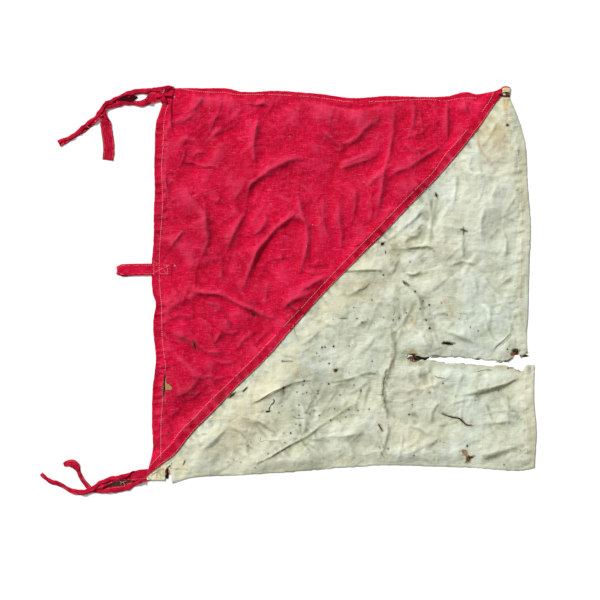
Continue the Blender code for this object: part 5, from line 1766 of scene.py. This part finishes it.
def frays(side, rng):
    """Short broken yarns along the raggedest parts of a cloth's edges."""
    shape = relief()
    fray = bpy.context.scene.flag_thread.fray
    paths = []
    for loop in node_loops(f"{side}_panel"):
        points = even(np.vstack([loop, loop[:1]]), 1.3)
        for place, out in zip(points, -left_of(unit(np.gradient(points, axis=0), TINY))):
            wear = 0.05
            for rag in RAGS:
                gap = math.hypot(place[0] - rag.x, place[1] - rag.y)
                wear = max(wear, 0.75 * rag.depth * float(smooth(1.6 - 1.6 * gap / rag.radius)))
            if rng.random() > wear * fray:
                continue
            length = rng.uniform(1.2, 2.2 + 2.2 * wear)
            heading = math.atan2(out[1], out[0]) + rng.normal(0.0, 0.7)
            z = shape.under(side, place[:1], place[1:])[0] + 0.45
            path = curl((*(place - out * 0.5), z), heading, length, 0.9, 0.25, rng)
            path[:, 2] = np.linspace(z, max(z * 0.6, 0.2), len(path))
            paths.append(path)
    return paths


def sew(name, paths, share, material, slot, taper=0.6):
    """Adds stitches or threads as a piece. Share is of the thread's full radius."""
    radius = bpy.context.scene.flag_thread.radius / MM * share
    new_piece(name, strand_mesh(name, paths, [radius] * len(paths), 5, taper), material, slot)


# ---------------------------------------------------------------- the user's settings

def number(name, description, default, low, high=100.0):
    return bpy.props.FloatProperty(name=name, description=description, default=default, min=low, max=high)


def metres(name, description, default, low):
    return bpy.props.FloatProperty(name=name, description=description, default=default, min=low,
                                   unit="LENGTH")


def hue(name, description, hex_colour):
    return bpy.props.FloatVectorProperty(name=name, description=description, default=linear(hex_colour),
                                         subtype="COLOR")


class FlagCloth(bpy.types.PropertyGroup):
    seed: bpy.props.IntProperty(name="Seed", description="Picks the small crumples and the wear", default=7,
                                min=0)
    crumple: number("Crumple", "Strength of the soft crumples", 1.0, 0.0, 2.0)
    crease: number("Creases", "Strength of the main creases", 1.45, 0.0, 2.0)
    cloth_thickness: metres("Cloth", "Thickness of the bunting", 0.0006, 0.0003)
    hem_thickness: metres("Hem", "Thickness of a turned hem", 0.0010, 0.0005)
    weave_pitch: metres("Weave", "Spacing of the drawn yarns", 0.0016, 0.0004)
    # Faded red and bleached cream are also painted on crests as highlight; deep red and dull cream also paint the lap
    # and troughs as shade and darken the crinkles' lines.
    red: hue("Red", "Colour of the red bunting", "#D2033A")
    red_faded: hue("Faded red", "Colour of rubbed red yarns", "#DC4668")
    red_deep: hue("Deep red", "Colour of the least faded red", "#B0001E")
    cream: hue("Cream", "Colour of the cream bunting", "#D9D8BF")
    cream_bleached: hue("Bleached cream", "Colour of bleached yarns", "#DFE3D1")
    cream_dull: hue("Dull cream", "Colour of dulled yarns", "#AEB194")


class FlagTape(bpy.types.PropertyGroup):
    width: metres("Width", "Width of the tape laid flat", 0.016, 0.004)
    thickness: metres("Thickness", "Thickness of the two stitched plies", 0.0006, 0.0004)
    weave_pitch: metres("Weave", "Spacing of the drawn yarns", 0.0014, 0.0004)
    colour: hue("Tape", "Colour of the tape", "#C00C32")


class FlagThread(bpy.types.PropertyGroup):
    radius: metres("Radius", "Radius of the sewing cotton", 0.0003, 0.0001)
    stitch_share: number("Stitch", "Share of each stitch that shows on top", 0.8, 0.2, 1.0)
    missing: number("Missing", "Share of stitches that have worn away", 0.04, 0.0, 1.0)
    fray: number("Fray", "How many broken yarns show along torn edges", 1.0, 0.0, 3.0)
    colour: hue("Thread", "Colour of the thread", "#E4AEA8")


class FlagStage(bpy.types.PropertyGroup):
    field: metres("Field", "Width of what the camera sees", 0.9, 0.1)
    lens: number("Lens", "Focal length in millimetres", 150.0, 20.0, 500.0)
    key: number("Key light", "Strength of the key light", 4.0, 0.0)
    top: number("Top light", "Strength of the light from above", 0.22, 0.0)
    sky: number("Sky", "Strength of the light from all round", 0.31, 0.0)


def red_bunting():
    settings = bpy.context.scene.flag_cloth
    tints = tuple((tint, linear(colour)) for tint, colour in (
        (DYE_AND_SHADE, "#70001C"), (SOIL_AND_SHADE, "#7A2A2A"), (TAN, "#B0865E"), (RUST, "#7A3A14"), (PALE, "#D02C4C"),
        (CHAR_AND_SHADE, "#2A0A08")))
    return kept_material("worn_red_bunting", bunting_material, settings.red, settings, tints,
                         settings.red_faded, settings.red_deep, linear("#C2103A"),
                         (38.0, 0.02, linear("#78001C")), 0.4, 0.34, 0.82)


def cream_bunting():
    settings = bpy.context.scene.flag_cloth
    tints = tuple((tint, linear(colour)) for tint, colour in (
        (WARM, "#E4DAB4"), (SOIL_AND_SHADE, "#8E8E70"), (TAN, "#B09A6C"), (PALE, "#D3DAD0"), (RUST, "#7C4A1C"),
        (INK, "#7A8884"), (CHAR_AND_SHADE, "#1C130A")))
    return kept_material("stained_cream_bunting", bunting_material, settings.cream, settings, tints,
                         settings.cream_bleached, settings.cream_dull, linear("#CBD5CA"),
                         (52.0, 0.07, linear("#4A4A30")), 0.42, 0.16, 0.85)


def red_tape():
    settings = bpy.context.scene.flag_tape
    return kept_material("red_cotton_tape", tape_material, settings.colour, linear("#D83A5C"),
                         linear("#84001A"), settings.weave_pitch)


def loop_tape():
    return kept_material("sun_faded_red_tape", tape_material, linear("#CC0A38"), linear("#DE4062"),
                         linear("#AC0024"), bpy.context.scene.flag_tape.weave_pitch)


def sewing_cotton():
    return kept_material("faded_sewing_cotton", thread_material, bpy.context.scene.flag_thread.colour,
                         linear("#D98C8C"))


def cream_cotton():
    return kept_material("cream_sewing_cotton", thread_material, linear("#F0ECDA"), linear("#C9C2A0"))


def soiled_cotton():
    return kept_material("soiled_sewing_cotton", thread_material, linear("#A8946C"), linear("#7C6A48"))


def yellowed_cotton():
    return kept_material("yellowed_cotton", grained_material, linear("#DCCFA8"), linear("#A89A74"))


# Tones of rotted cotton, most of them also used for sheets of painted shade: base and grain colours.
ROT_AND_SHADE_TONES = {CHAR_AND_SHADE: ("#1E140C", "#0A0604"), RUST: ("#86562A", "#4A280E"), TAN: ("#BC9468", "#8E6C44"),
       BROWN: ("#6E4A36", "#32201A"), SHADE_BROWN: ("#4A3E32", "#14100C"), WINE: ("#B0102E", "#5A0014"),
       MAROON: ("#4A0412", "#1E0006")}


def rot_and_shade_cotton(tone):
    return kept_material(f"rotted_cotton_{tone}", grained_material, *map(linear, ROT_AND_SHADE_TONES[tone]))


# ---------------------------------------------------------------- ties, loop and knot

# Side 1 folds a tie over at its left edge. Its stations are x, y, height, width, turn of the fold and roll.
Tie = namedtuple("Tie", "name node side stations")

TIES = (
    Tie("top_long_tie", "top_tie_long", -1, (
        (-189, 297.5, 2.8, 9, 165, 6), (-207.4, 298.1, 1.4, 8.5, 168, 8),
        (-219, 298.3, 0.4, 8.8, 172, 4), (-231, 296.4, 0.12, 8, 173, 0),
        (-244, 291.8, 0.12, 8.4, 173, 0), (-254, 287.4, 0.3, 8.5, 173, 2),
        (-263, 282.4, 1.2, 9, 173, 2), (-271.5, 277.2, 1.8, 9.4, 172, 0),
        (-278.6, 268.4, 1.6, 9.8, 172, -3),
        (-287.4, 257.1, 0.7, 9.2, 172, -6), (-296, 250.5, 0.2, 9.8, 170, 0),
        (-303.4, 244.1, 0.12, 9, 172, 0), (-311, 238.2, 0.12, 9.6, 170, 0),
        (-318.4, 233.1, 0.12, 7.6, 174, 0), (-331.4, 225.1, 0.12, 7.6, 174, 0),
        (-338, 222.4, 0.12, 8.8, 172, 0), (-343.8, 219.4, 0.12, 9.6, 160, 0),
    )),
    Tie("top_short_tie", "top_tie_short", 1, (
        (-190.4, 291.1, 1.4, 14.5, 20, -3), (-204, 287.6, 0.5, 14, 40, -3),
        (-212, 282.4, 0.15, 11, 150, -2), (-221, 279.9, 0.12, 7.6, 172, -2),
        (-231.4, 280.6, 0.12, 6.4, 174, 0), (-246.4, 280.2, 0.12, 7.2, 172, 0),
        (-261.4, 278.0, 0.12, 9, 170, 0), (-272.4, 275.6, 0.12, 9.5, 172, 0),
        (-278.0, 270.1, 0.12, 9.5, 172, 0), (-275.9, 259.1, 0.12, 11.5, 170, 0),
        (-273.4, 248.1, 0.12, 14, 60, 0), (-271.9, 238.1, 0.12, 15.6, 10, 0),
        (-269.4, 222.1, 0.15, 15.8, 0, 0), (-268.9, 208.1, 0.15, 15.6, 0, 0),
        (-270.4, 195.1, 0.15, 15.2, 0, 0),
    )),
    Tie("bottom_long_tie", "bottom_tie_long", -1, (
        (-202, -276.0, 0.75, 14.5, 0, 0), (-213, -276.4, 0.75, 14.5, 6, 0),
        (-222, -277.2, 0.75, 14.5, 10, 0), (-230, -278.6, 0.75, 12.5, 60, 0),
        (-239, -279.8, 0.6, 10.5, 150, 2), (-250, -281.6, 0.5, 9.5, 170, 0),
        (-264.4, -284.4, 1.2, 9.5, 168, -2), (-280.4, -291.4, 2.0, 9.5, 172, 3),
        (-297.4, -300.4, 1.6, 8.5, 172, 0), (-310.4, -303.4, 0.4, 7, 172, 0),
        (-324.9, -300.9, 0.12, 6.8, 170, 0), (-338.4, -293.4, 0.12, 6, 174, 0),
        (-346, -289.6, 0.12, 6.6, 170, 0), (-354.4, -287.9, 0.12, 5.8, 174, 0),
        (-364.9, -280.9, 0.12, 6.2, 170, 0), (-370.4, -275.4, 0.12, 5.4, 174, 0),
    )),
    Tie("bottom_curled_tie", "bottom_tie_curled", 1, (
        (-184, -275.0, 0.12, 14, 0, 0), (-195.4, -276.4, 0.12, 14, 0, 0),
        (-211.4, -279.4, 0.12, 13, 20, 0), (-226.4, -285.9, 0.12, 10.5, 165, 0),
        (-238.4, -293.9, 0.12, 9.5, 168, 0), (-250.4, -297.9, 0.12, 9.5, 170, 0),
        (-267.4, -299.7, 0.12, 7.8, 172, 0), (-282.4, -300.9, 0.12, 7, 174, 0),
        (-293.9, -299.2, 0.12, 7, 174, 0), (-302.4, -291.9, 0.12, 6.2, 174, 0),
        (-309.2, -282.4, 0.12, 6, 174, 0), (-313.9, -272.9, 0.15, 7, 172, 0),
        (-316.9, -265.4, 0.3, 10, 165, 0), (-322.9, -259.9, 0.3, 11, 150, 0),
        (-330.4, -259.6, 0.2, 7.5, 168, 0), (-336.9, -261.4, 0.12, 4.6, 172, 0),
    )),
)

LOOP_PATH = (
    (-174.0, 30.4, 1.55), (-190, 30.9, 1.55), (-205, 31.0, 1.5), (-214, 30.8, 0.8), (-226, 30.4, 0.6),
    (-246, 29.4, 0.5), (-253.5, 29.2, 0.6), (-256.6, 29.6, 1.3), (-254, 30.0, 2.2), (-246, 30.2, 2.4),
    (-236, 30.6, 2.3), (-222, 30.9, 2.1), (-210, 31.0, 2.15), (-203, 31.1, 2.2), (-188, 30.9, 2.2),
    (-174.0, 30.4, 2.15),
)
LOOP_TIP = -254.0
LOOP_SEWN = -206.0      # the tape is sewn down from here on

Turn = namedtuple("Turn", "width turn across path")
KNOT_TURNS = (
    Turn(11, 168, (0, 1, 0), ((-202, 297.5, 1.8), (-194, 299.4, 2.7), (-186, 300.2, 3.0),
                              (-178.5, 300.2, 2.8), (-172, 299.2, 1.9))),
    Turn(6.5, 160, (0.62, 0.78, 0.1), ((-173.5, 302.6, 2.0), (-178, 300.4, 3.9), (-184, 296, 4.3),
                                       (-189, 291, 3.2))),
    Turn(9, 160, (1, -0.25, 0), ((-191.5, 298, 2.6), (-189.4, 291.5, 3.5), (-187, 285.5, 3.4),
                                 (-185.4, 280.6, 1.8))),
    Turn(7, 168, (0.1, 1, 0), ((-199, 290.8, 1.9), (-191, 291.8, 2.6), (-182.5, 292.6, 2.6),
                               (-173.5, 291.6, 1.7))),
)

# Dark sheets of painted shade where the insides of the folded tapes lie in shade: name, band and tone.
FOLD_SHADES = (
    ("top_fold_shade", Turn(9.5, 0, (0, 1, 0), ((-277, 273, 2.2), (-268, 279, 2.0), (-257, 283.2, 1.9),
                                               (-244, 286.2, 1.9), (-226, 289.4, 1.2))), MAROON),
    ("top_fold_corner_shade", Turn(6, 0, (1, 0.3, 0), ((-272.5, 283.5, 1.4), (-275, 277, 1.6), (-278.5, 267, 1.2))),
     MAROON),
    ("bottom_fold_shade", Turn(11, 0, (0, 1, 0), ((-282, -294.5, 0.5), (-268, -291.5, 0.5), (-252, -288, 0.5),
                                                 (-238, -286, 0.5), (-226, -284, 0.5))), SHADE_BROWN),
    ("loop_eye_shade", Turn(6, 0, (0, 1, 0), ((-256, 24.6, 0.9), (-248, 24.0, 0.6), (-241, 23.8, 0.5),
                                              (-234, 24.8, 0.4))), CHAR_AND_SHADE),
)

CORNER_TURNS = (
    Turn(8.5, 172, (0, 1, 0), ((319.8, 297.6, 0.6), (323, 298.8, 1.3), (328, 299.2, 1.3),
                               (332.6, 297.8, 0.7))),
)
CORNER_EDGE = (
    Turn(2.4, 0, (0, 1, 0), ((320.4, 302.6, 1.0), (325, 304.0, 1.2), (329, 303.8, 1.2), (332.6, 302.2, 1.0))),
)
# Brown sheets under the rolled fly corner: a rust stain, and painted shade under the roll.
CORNER_RUST_AND_SHADE = (
    Turn(6, 0, (0.1, 1, 0), ((325.4, 294.8, 2.1), (328.5, 295.2, 2.6), (332.0, 294.6, 2.0))),
    Turn(2.2, 0, (0, 1, 0), ((319.0, 291.6, 1.2), (326, 290.6, 1.4), (332.4, 290.6, 1.2))),
)
CORNER_SPOT = (
    Turn(3.4, 0, (0, 1, 0), ((315.6, 294.4, 2.2), (317.6, 293.8, 2.4), (320.6, 292.6, 1.8))),
)

BOTTOM_TIE_TOP = -280.0     # loose threads below this lie on the bottom ties,
HOIST_EDGE = -216.0         # and those right of this lie on the cloth
ON_TIES = 1.35
LooseThread = namedtuple("LooseThread", "x y heading length bend rise pale")
LOOSE_THREADS = (
    LooseThread(-266, -290.5, 14, 26, 0.4, 0.3, 1), LooseThread(-262, -288.4, 16, 22, 0.4, 0.3, 1),
    LooseThread(-252, -290, 30, 9, 0.8, 0.4, 1), LooseThread(-242, -286.5, 190, 12, 0.8, 0.4, 1),
    LooseThread(-170, 38, 200, 9, 1.4, 1.2, 1), LooseThread(9.6, -55.4, 280, 15, 0.5, 0.4, 0),
    LooseThread(202, 45, 250, 7, 1.6, 0.5, 1), LooseThread(250, 11, 200, 6, 1.8, 0.5, 1),
    LooseThread(-297, 244, 215, 5, 0.8, 0.6, 1), LooseThread(-171.8, 290, 80, 8, 1.2, 0.8, 1),
    LooseThread(3, 229, 20, 4, 0.8, 0.3, 1), LooseThread(36, 99, 300, 4, 0.8, 0.3, 1),
    LooseThread(-139.5, 139.6, 100, 4, 0.8, 0.3, 1), LooseThread(-24, 130, 200, 4, 0.8, 0.3, 1),
    LooseThread(28.5, 66, 120, 4, 0.8, 0.3, 1), LooseThread(-118.5, 271, 30, 4, 0.8, 0.3, 1),
)

LARGEST_TURN = 176.0   # a tie never folds over by more than this, in degrees
BAND_STEP = 1.1        # spacing of the points along a band
PATCH_SIDES = 20
PATCH_RINGS = 4
PATCH_THICKNESS = 0.3
PATCH_LEAST = 0.04     # a patch lies at least this high
TIE_INSET = 1.7        # how far a tie's stitches lie in from its edge
LOOP_INSET = 2.0


def make_tie(tie, rng):
    """One tie, lying along its stations. Returns the lines that its edges are stitched along."""
    rows = spline(tie.stations, 1.4)
    places = np.column_stack([rows[:, :2], np.zeros(len(rows))])
    across = np.column_stack([left_of(np.gradient(places, axis=0)), np.zeros(len(rows))]) * tie.side
    widths = np.clip(rows[:, 3], 3.0, bpy.context.scene.flag_tape.width / MM)
    turns = np.clip(rows[:, 4], 0.0, LARGEST_TURN)
    rings, spots, along = tape_rings(places, across, widths, turns, rows[:, 5], np.maximum(rows[:, 2], 0.06),
                                     rng, 0.2)
    new_piece(tie.name, tape_mesh(tie.name, rings, spots, along), red_tape(), "red_tape", (tie.node,))
    MEASURED[tie.name] = along[-1] * MM
    return stitched_lines(rings, spots, TIE_INSET)


def patch_mesh(name, points, level):
    """A scrap of cloth with its upper side at level. The points are its middle, then its rings."""
    size = len(points)
    faces = []
    for s in range(PATCH_SIDES):
        t = (s + 1) % PATCH_SIDES
        faces += [(0, 1 + s, 1 + t), (size, size + 1 + t, size + 1 + s)]
        for a in range(1, size - PATCH_SIDES, PATCH_SIDES):
            b = a + PATCH_SIDES
            faces.append((a + s, b + s, b + t, a + t))
            faces.append((size + a + t, size + b + t, size + b + s, size + a + s))
        a = size - PATCH_SIDES
        faces.append((a + t, a + s, size + a + s, size + a + t))
    upper = np.column_stack([points, level])
    lower = np.column_stack([points, np.maximum(level - PATCH_THICKNESS, PATCH_LEAST)])
    return new_mesh(name, np.vstack([upper, lower]), faces)


def air_band(turn, rng, crumple, widths=None):
    """A length of tape along a path through the air."""
    curve = spline(turn.path, BAND_STEP)
    count = len(curve)
    widths = np.full(count, turn.width) if widths is None else widths
    return tape_rings(curve, np.tile(np.array(turn.across, float), (count, 1)), widths,
                      np.full(count, float(turn.turn)), np.zeros(count), None, rng, crumple)


# ---------------------------------------------------------------- operators

MEASURED = {}          # the cut area of each cloth and the length of each tape, in square metres and metres


class FLAG_OT_cream_cloth(bpy.types.Operator):
    """Make the cream triangle of bunting, with its tears, holes and stains"""
    bl_idname = "flag.cream_cloth"
    bl_label = "Cream cloth"

    def execute(self, context):
        build_panel(CREAM, cream_bunting())
        return {"FINISHED"}


class FLAG_OT_red_cloth(bpy.types.Operator):
    """Make the red triangle of bunting, which laps over the cream one along the seam"""
    bl_idname = "flag.red_cloth"
    bl_label = "Red cloth"

    def execute(self, context):
        build_panel(RED, red_bunting())
        return {"FINISHED"}


class FLAG_OT_ties(bpy.types.Operator):
    """Make the four tape ties, folded along their length, with their stitched edges"""
    bl_idname = "flag.ties"
    bl_label = "Ties"

    def execute(self, context):
        rng = dice(31)
        stitches = []
        for tie in TIES:
            lines = make_tie(tie, rng)
            for line in (lines[:2] if tie.name == "top_short_tie" else lines[:1]):
                stitches += line_stitches(line, 0.25, rng)
        sew("tie_stitches", stitches, 0.6, sewing_cotton(), "red_tape")
        return {"FINISHED"}


class FLAG_OT_loop(bpy.types.Operator):
    """Make the hoist loop: a tape doubled back on itself, sewn down on the hem"""
    bl_idname = "flag.loop"
    bl_label = "Hoist loop"

    def execute(self, context):
        rng = dice(41)
        shape = relief()
        path = np.array(LOOP_PATH)
        sewn_at = shape.top(RED, path[:, 0], path[:, 1])
        sewn_at += np.where(np.arange(len(path)) < len(path) / 2, -0.25, 0.3)
        path[:, 2] = np.where(path[:, 0] > LOOP_SEWN, sewn_at, path[:, 2])
        curve = spline(path, BAND_STEP)
        widths = 16.0 - 6.0 * smooth((LOOP_TIP + 5.5 - curve[:, 0]) / 8.5)
        rings, spots, along = air_band(Turn(16.0, 0.0, (0, 1, 0), path), rng, 0.06, widths)
        name = "hoist_loop_tape"
        new_piece(name, tape_mesh(name, rings, spots, along), loop_tape(), "red_tape", ("hoist_loop",))
        MEASURED[name] = along[-1] * MM
        stitches = []
        for line in stitched_lines(rings, spots, LOOP_INSET):
            stitches += line_stitches(line, 0.4, rng)
        for row in LOOP_BOX:
            stitches += stitch_paths(row, lambda x, y: shape.top(RED, x, y) + 0.7, rng)
        sew("loop_stitches", stitches, 0.75, sewing_cotton(), "red_tape")
        return {"FINISHED"}


class FLAG_OT_knot(bpy.types.Operator):
    """Make the knot where the top ties are sewn on: turns of tape pulled over each other"""
    bl_idname = "flag.knot"
    bl_label = "Knot"

    def execute(self, context):
        rng = dice(53)
        mesh = joined_turns("top_corner_knot", KNOT_TURNS, rng, 0.22)
        new_piece("top_corner_knot", mesh, red_tape(), "red_tape", ("top_knot",))
        return {"FINISHED"}


class FLAG_OT_fold_shades(bpy.types.Operator):
    """Make dark sheets of painted shade inside the folded tapes, which show between their strands and in the loop's
    eye
    """
    bl_idname = "flag.inner_folds"
    bl_label = "Inner folds"

    def execute(self, context):
        rng = dice(101)
        for name, turn, tone in FOLD_SHADES:
            order = np.arange(len(spline(turn.path, BAND_STEP)))
            from_end = np.minimum(order, order[::-1]) * BAND_STEP
            widths = turn.width * (0.2 + 0.8 * smooth(from_end / 9.0))
            mesh = tape_mesh(name, *air_band(turn, rng, 0.12, widths))
            new_piece(name, mesh, rot_and_shade_cotton(tone), "red_tape")
        return {"FINISHED"}


class FLAG_OT_fly_corner(bpy.types.Operator):
    """Make the rolled corner at the top of the fly, where both cloths are turned in, with a rust stain and painted
    shade under the roll
    """
    bl_idname = "flag.fly_corner"
    bl_label = "Rolled fly corner"

    def execute(self, context):
        rng = dice(97)
        for name, turns, material, slot in (
                ("fly_corner_roll", CORNER_TURNS, yellowed_cotton(), "cream_bunting"),
                ("fly_corner_edge", CORNER_EDGE, red_bunting(), "red_bunting"),
                ("fly_corner_rust_and_shade", CORNER_RUST_AND_SHADE, rot_and_shade_cotton(BROWN), "cream_bunting"),
                ("fly_corner_spot", CORNER_SPOT, rot_and_shade_cotton(CHAR_AND_SHADE), "red_bunting")):
            new_piece(name, joined_turns(name, turns, rng, 0.2), material, slot)
        return {"FINISHED"}


class FLAG_OT_patches(bpy.types.Operator):
    """Make the rotted cloth and the painted shade that show dark through the holes"""
    bl_idname = "flag.patches"
    bl_label = "Rotted cloth"

    def execute(self, context):
        shape = relief()
        rng = dice(61)
        for index, (side, tone, centre_x, centre_y, length, width, turn) in enumerate(PATCHES, 1):
            edge = 1.0 + rng.uniform(-0.12, 0.12, PATCH_SIDES)
            turn = math.radians(turn)
            points = [(centre_x, centre_y)]
            for k in range(1, PATCH_RINGS + 1):
                u = length * k / PATCH_RINGS * np.cos(circle(PATCH_SIDES)) * edge
                v = width * k / PATCH_RINGS * np.sin(circle(PATCH_SIDES)) * edge
                points += list(zip(centre_x + u * math.cos(turn) - v * math.sin(turn),
                                   centre_y + u * math.sin(turn) + v * math.cos(turn)))
            points = np.array(points)
            level = np.maximum(shape.under(side, *points.T) - 0.12, 0.36)
            level += rng.uniform(-0.05, 0.0, len(points))
            name = f"hole_rot_and_shade_{index}"
            new_piece(name, patch_mesh(name, points, level), rot_and_shade_cotton(tone), f"{side}_bunting")
        return {"FINISHED"}


class FLAG_OT_stitches(bpy.types.Operator):
    """Sew the seam and the hems"""
    bl_idname = "flag.stitches"
    bl_label = "Seam and hem stitches"

    def execute(self, context):
        shape = relief()
        rng = dice(71)
        inset = shape.seam - left_of(unit(np.gradient(shape.seam, axis=0))) * SEAM_OUTER_INSET
        outer = Row(inset[2:-3], ((0.33, 0.35), (0.54, 0.57)), 3.0)
        for name, side, rows, material in (
                ("seam_stitches", RED, (SEAM_ROW, outer), sewing_cotton()),
                ("red_hem_stitches", RED, (HOIST_ROW, TOP_ROW, KNOT_ROW), sewing_cotton()),
                ("fly_hem_stitches", CREAM, (FLY_ROW, FLY_ROW_LOW, FLY_OUTER, FLY_OUTER_LOW), cream_cotton()),
                ("corner_stitches", CREAM, CORNER_BOX, soiled_cotton())):
            paths = []
            for row in rows:
                paths += stitch_paths(row, lambda x, y: shape.top(side, x, y), rng)
            sew(name, paths, 1.0, material, f"{side}_bunting")
        return {"FINISHED"}


class FLAG_OT_loose_ends(bpy.types.Operator):
    """Lay the loose threads and fray the torn edges"""
    bl_idname = "flag.loose_ends"
    bl_label = "Loose ends"

    def execute(self, context):
        shape = relief()
        rng = dice(83)
        dark = []
        pale = []
        for thread in LOOSE_THREADS:
            x = np.array([thread.x])
            y = np.array([thread.y])
            side = RED if nearest(shape.seam, x, y)[1][0] < 0.0 else CREAM
            z = max(float(shape.top(side, x, y)[0]), 0.3)
            path = curl((thread.x, thread.y, z), math.radians(thread.heading), thread.length, thread.bend,
                        thread.rise, rng)
            if thread.y < BOTTOM_TIE_TOP:
                path[:, 2] = ON_TIES
            elif thread.x > HOIST_EDGE:
                path[:, 2] = shape.top(side, path[:, 0], path[:, 1]) + 0.2
            (pale if thread.pale else dark).append(path)
        for knot_end in ((-191, 297, 4.2), (-187.5, 299.5, 4.4), (-190.5, 301, 4.2), (-188, 295.5, 5.0)):
            for _ in range(2):
                pale.append(curl(knot_end, rng.uniform(0.0, 6.28), rng.uniform(5.0, 8.0), 0.9, 0.4, rng))
        sew("dark_loose_thread", dark, 0.8, rot_and_shade_cotton(RUST), "red_bunting", 0.5)
        sew("pale_loose_threads", pale, 0.8, sewing_cotton(), "red_bunting", 0.5)
        for side, material in ((RED, red_bunting()), (CREAM, cream_bunting())):
            paths = frays(side, rng)
            mesh = strand_mesh(f"{side}_frays", paths, rng.uniform(0.1, 0.2, len(paths)), 4, 0.4)
            new_piece(f"{side}_frays", mesh, material, f"{side}_bunting")
        return {"FINISHED"}


class FLAG_OT_stage(bpy.types.Operator):
    """Make the floor, the lights and the camera"""
    bl_idname = "flag.stage"
    bl_label = "Stage"

    def execute(self, context):
        settings = context.scene.flag_stage
        low, high = cad_box
        reach = FLOOR_WIDTH / 2.0
        mesh = bpy.data.meshes.new("studio_floor")
        mesh.from_pydata([(-reach, -reach, 0), (reach, -reach, 0), (reach, reach, 0), (-reach, reach, 0)], [],
                         [(0, 1, 2, 3)])
        floor = bpy.data.objects.new("studio_floor", mesh)
        context.scene.collection.objects.link(floor)
        material, _, shader = new_material("matt_white_paper", 0.95, 0.0, 0.0)
        shader.inputs["Base Color"].default_value = rgba(linear("#F6F6F6"))
        mesh.materials.append(material)
        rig.stage(floor)

        for name, strength, angle, turn in (("key_sun", settings.key, 14.0, (-52.0, 0.0, 42.0)),
                                            ("top_sun", settings.top, 60.0, (0.0, 0.0, 0.0))):
            light = bpy.data.lights.new(name, "SUN")
            light.energy = strength
            light.angle = math.radians(angle)
            sun = bpy.data.objects.new(name, light)
            context.scene.collection.objects.link(sun)
            sun.rotation_euler = [math.radians(a) for a in turn]
        world = bpy.data.worlds.new("soft_studio")
        context.scene.world = world
        world.use_nodes = True
        sky = world.node_tree.nodes["Background"]
        sky.inputs["Color"].default_value = rgba(linear("#FFFFFF"))
        sky.inputs["Strength"].default_value = settings.sky

        lens = bpy.data.cameras.new("camera")
        lens.lens = settings.lens
        lens.sensor_width = SENSOR_WIDTH
        camera = bpy.data.objects.new("camera", lens)
        context.scene.collection.objects.link(camera)
        centre = (low + high) / 2.0
        camera.location = (centre.x + CAMERA_OFF[0], centre.y + CAMERA_OFF[1],
                           settings.field * settings.lens / SENSOR_WIDTH)
        context.scene.camera = camera
        context.scene.view_settings.view_transform = "Standard"
        return {"FINISHED"}


class FLAG_PT_panel(bpy.types.Panel):
    """Lists the flag's settings and pieces"""
    bl_idname = "FLAG_PT_panel"
    bl_label = "Flag"
    bl_space_type = "VIEW_3D"
    bl_region_type = "UI"
    bl_category = "Flag"

    def draw(self, context):
        for key in GROUPS:
            box = self.layout.box()
            group = getattr(context.scene, key)
            for name in group.__annotations__:
                box.prop(group, name)
        for operator in OPERATORS:
            self.layout.operator(operator.bl_idname)


GROUPS = {"flag_cloth": FlagCloth, "flag_tape": FlagTape, "flag_thread": FlagThread, "flag_stage": FlagStage}
OPERATORS = (FLAG_OT_cream_cloth, FLAG_OT_red_cloth, FLAG_OT_ties, FLAG_OT_loop, FLAG_OT_knot,
             FLAG_OT_fold_shades, FLAG_OT_fly_corner, FLAG_OT_patches, FLAG_OT_stitches,
             FLAG_OT_loose_ends, FLAG_OT_stage)


def register():
    for kind in (*GROUPS.values(), *OPERATORS, FLAG_PT_panel):
        bpy.utils.register_class(kind)
    for name, group in GROUPS.items():
        setattr(bpy.types.Scene, name, bpy.props.PointerProperty(type=group))


def unregister():
    for name in GROUPS:
        delattr(bpy.types.Scene, name)
    for kind in (FLAG_PT_panel, *OPERATORS[::-1], *GROUPS.values()):
        bpy.utils.unregister_class(kind)


def pieces(*names):
    return [bpy.data.objects[name] for name in names]


def declare_sheets():
    """Says what each cut piece was before it was sewn, crumpled and laid down."""
    # The dark cloth under the holes: rotted scraps and painted shade.
    rot = {side: pieces(*(f"hole_rot_and_shade_{k}" for k, patch in enumerate(PATCHES, 1) if patch[0] == side))
           for side in (RED, CREAM)}
    cream_cloth, red_cloth, loop = pieces("cream_cloth", "red_cloth", "hoist_loop_tape")
    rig.sheet(cream_cloth, flat=(0.586, 0.595), held="laid", area=MEASURED["cream_cloth"],
             with_pieces=pieces("fly_hem_stitches", "corner_stitches", "fly_corner_roll", "fly_corner_rust_and_shade",
                                "cream_frays") + rot[CREAM])
    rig.sheet(red_cloth, flat=(0.545, 0.585), held="laid", area=MEASURED["red_cloth"],
             rests_on=["cream_cloth"],
             with_pieces=pieces("seam_stitches", "red_hem_stitches", "red_frays", "fly_corner_edge",
                                "fly_corner_spot", "dark_loose_thread", "pale_loose_threads") + rot[RED])
    width = bpy.context.scene.flag_tape.width
    for tie, with_it in zip(TIES, (("tie_stitches", "top_corner_knot"), ("top_fold_shade", "top_fold_corner_shade"),
                                   ("bottom_fold_shade",), ())):
        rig.sheet(*pieces(tie.name), flat=(width, MEASURED[tie.name]), held="folded",
                 with_pieces=pieces(*with_it))
    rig.sheet(loop, flat=(width, MEASURED["hoist_loop_tape"]), held="folded", rests_on=["red_cloth"],
             with_pieces=pieces("loop_stitches", "loop_eye_shade"))


def main():
    register()
    for operator in OPERATORS:
        group, name = operator.bl_idname.split(".")
        getattr(getattr(bpy.ops, group), name)()
    declare_sheets()
    visual_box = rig.bounds()
    with open(SIZE_FILE, "w") as file:
        json.dump({"cad": [list(corner) for corner in cad_box],
                   "visual": [list(corner) for corner in visual_box]}, file)


if __name__ == "__main__":
    main()
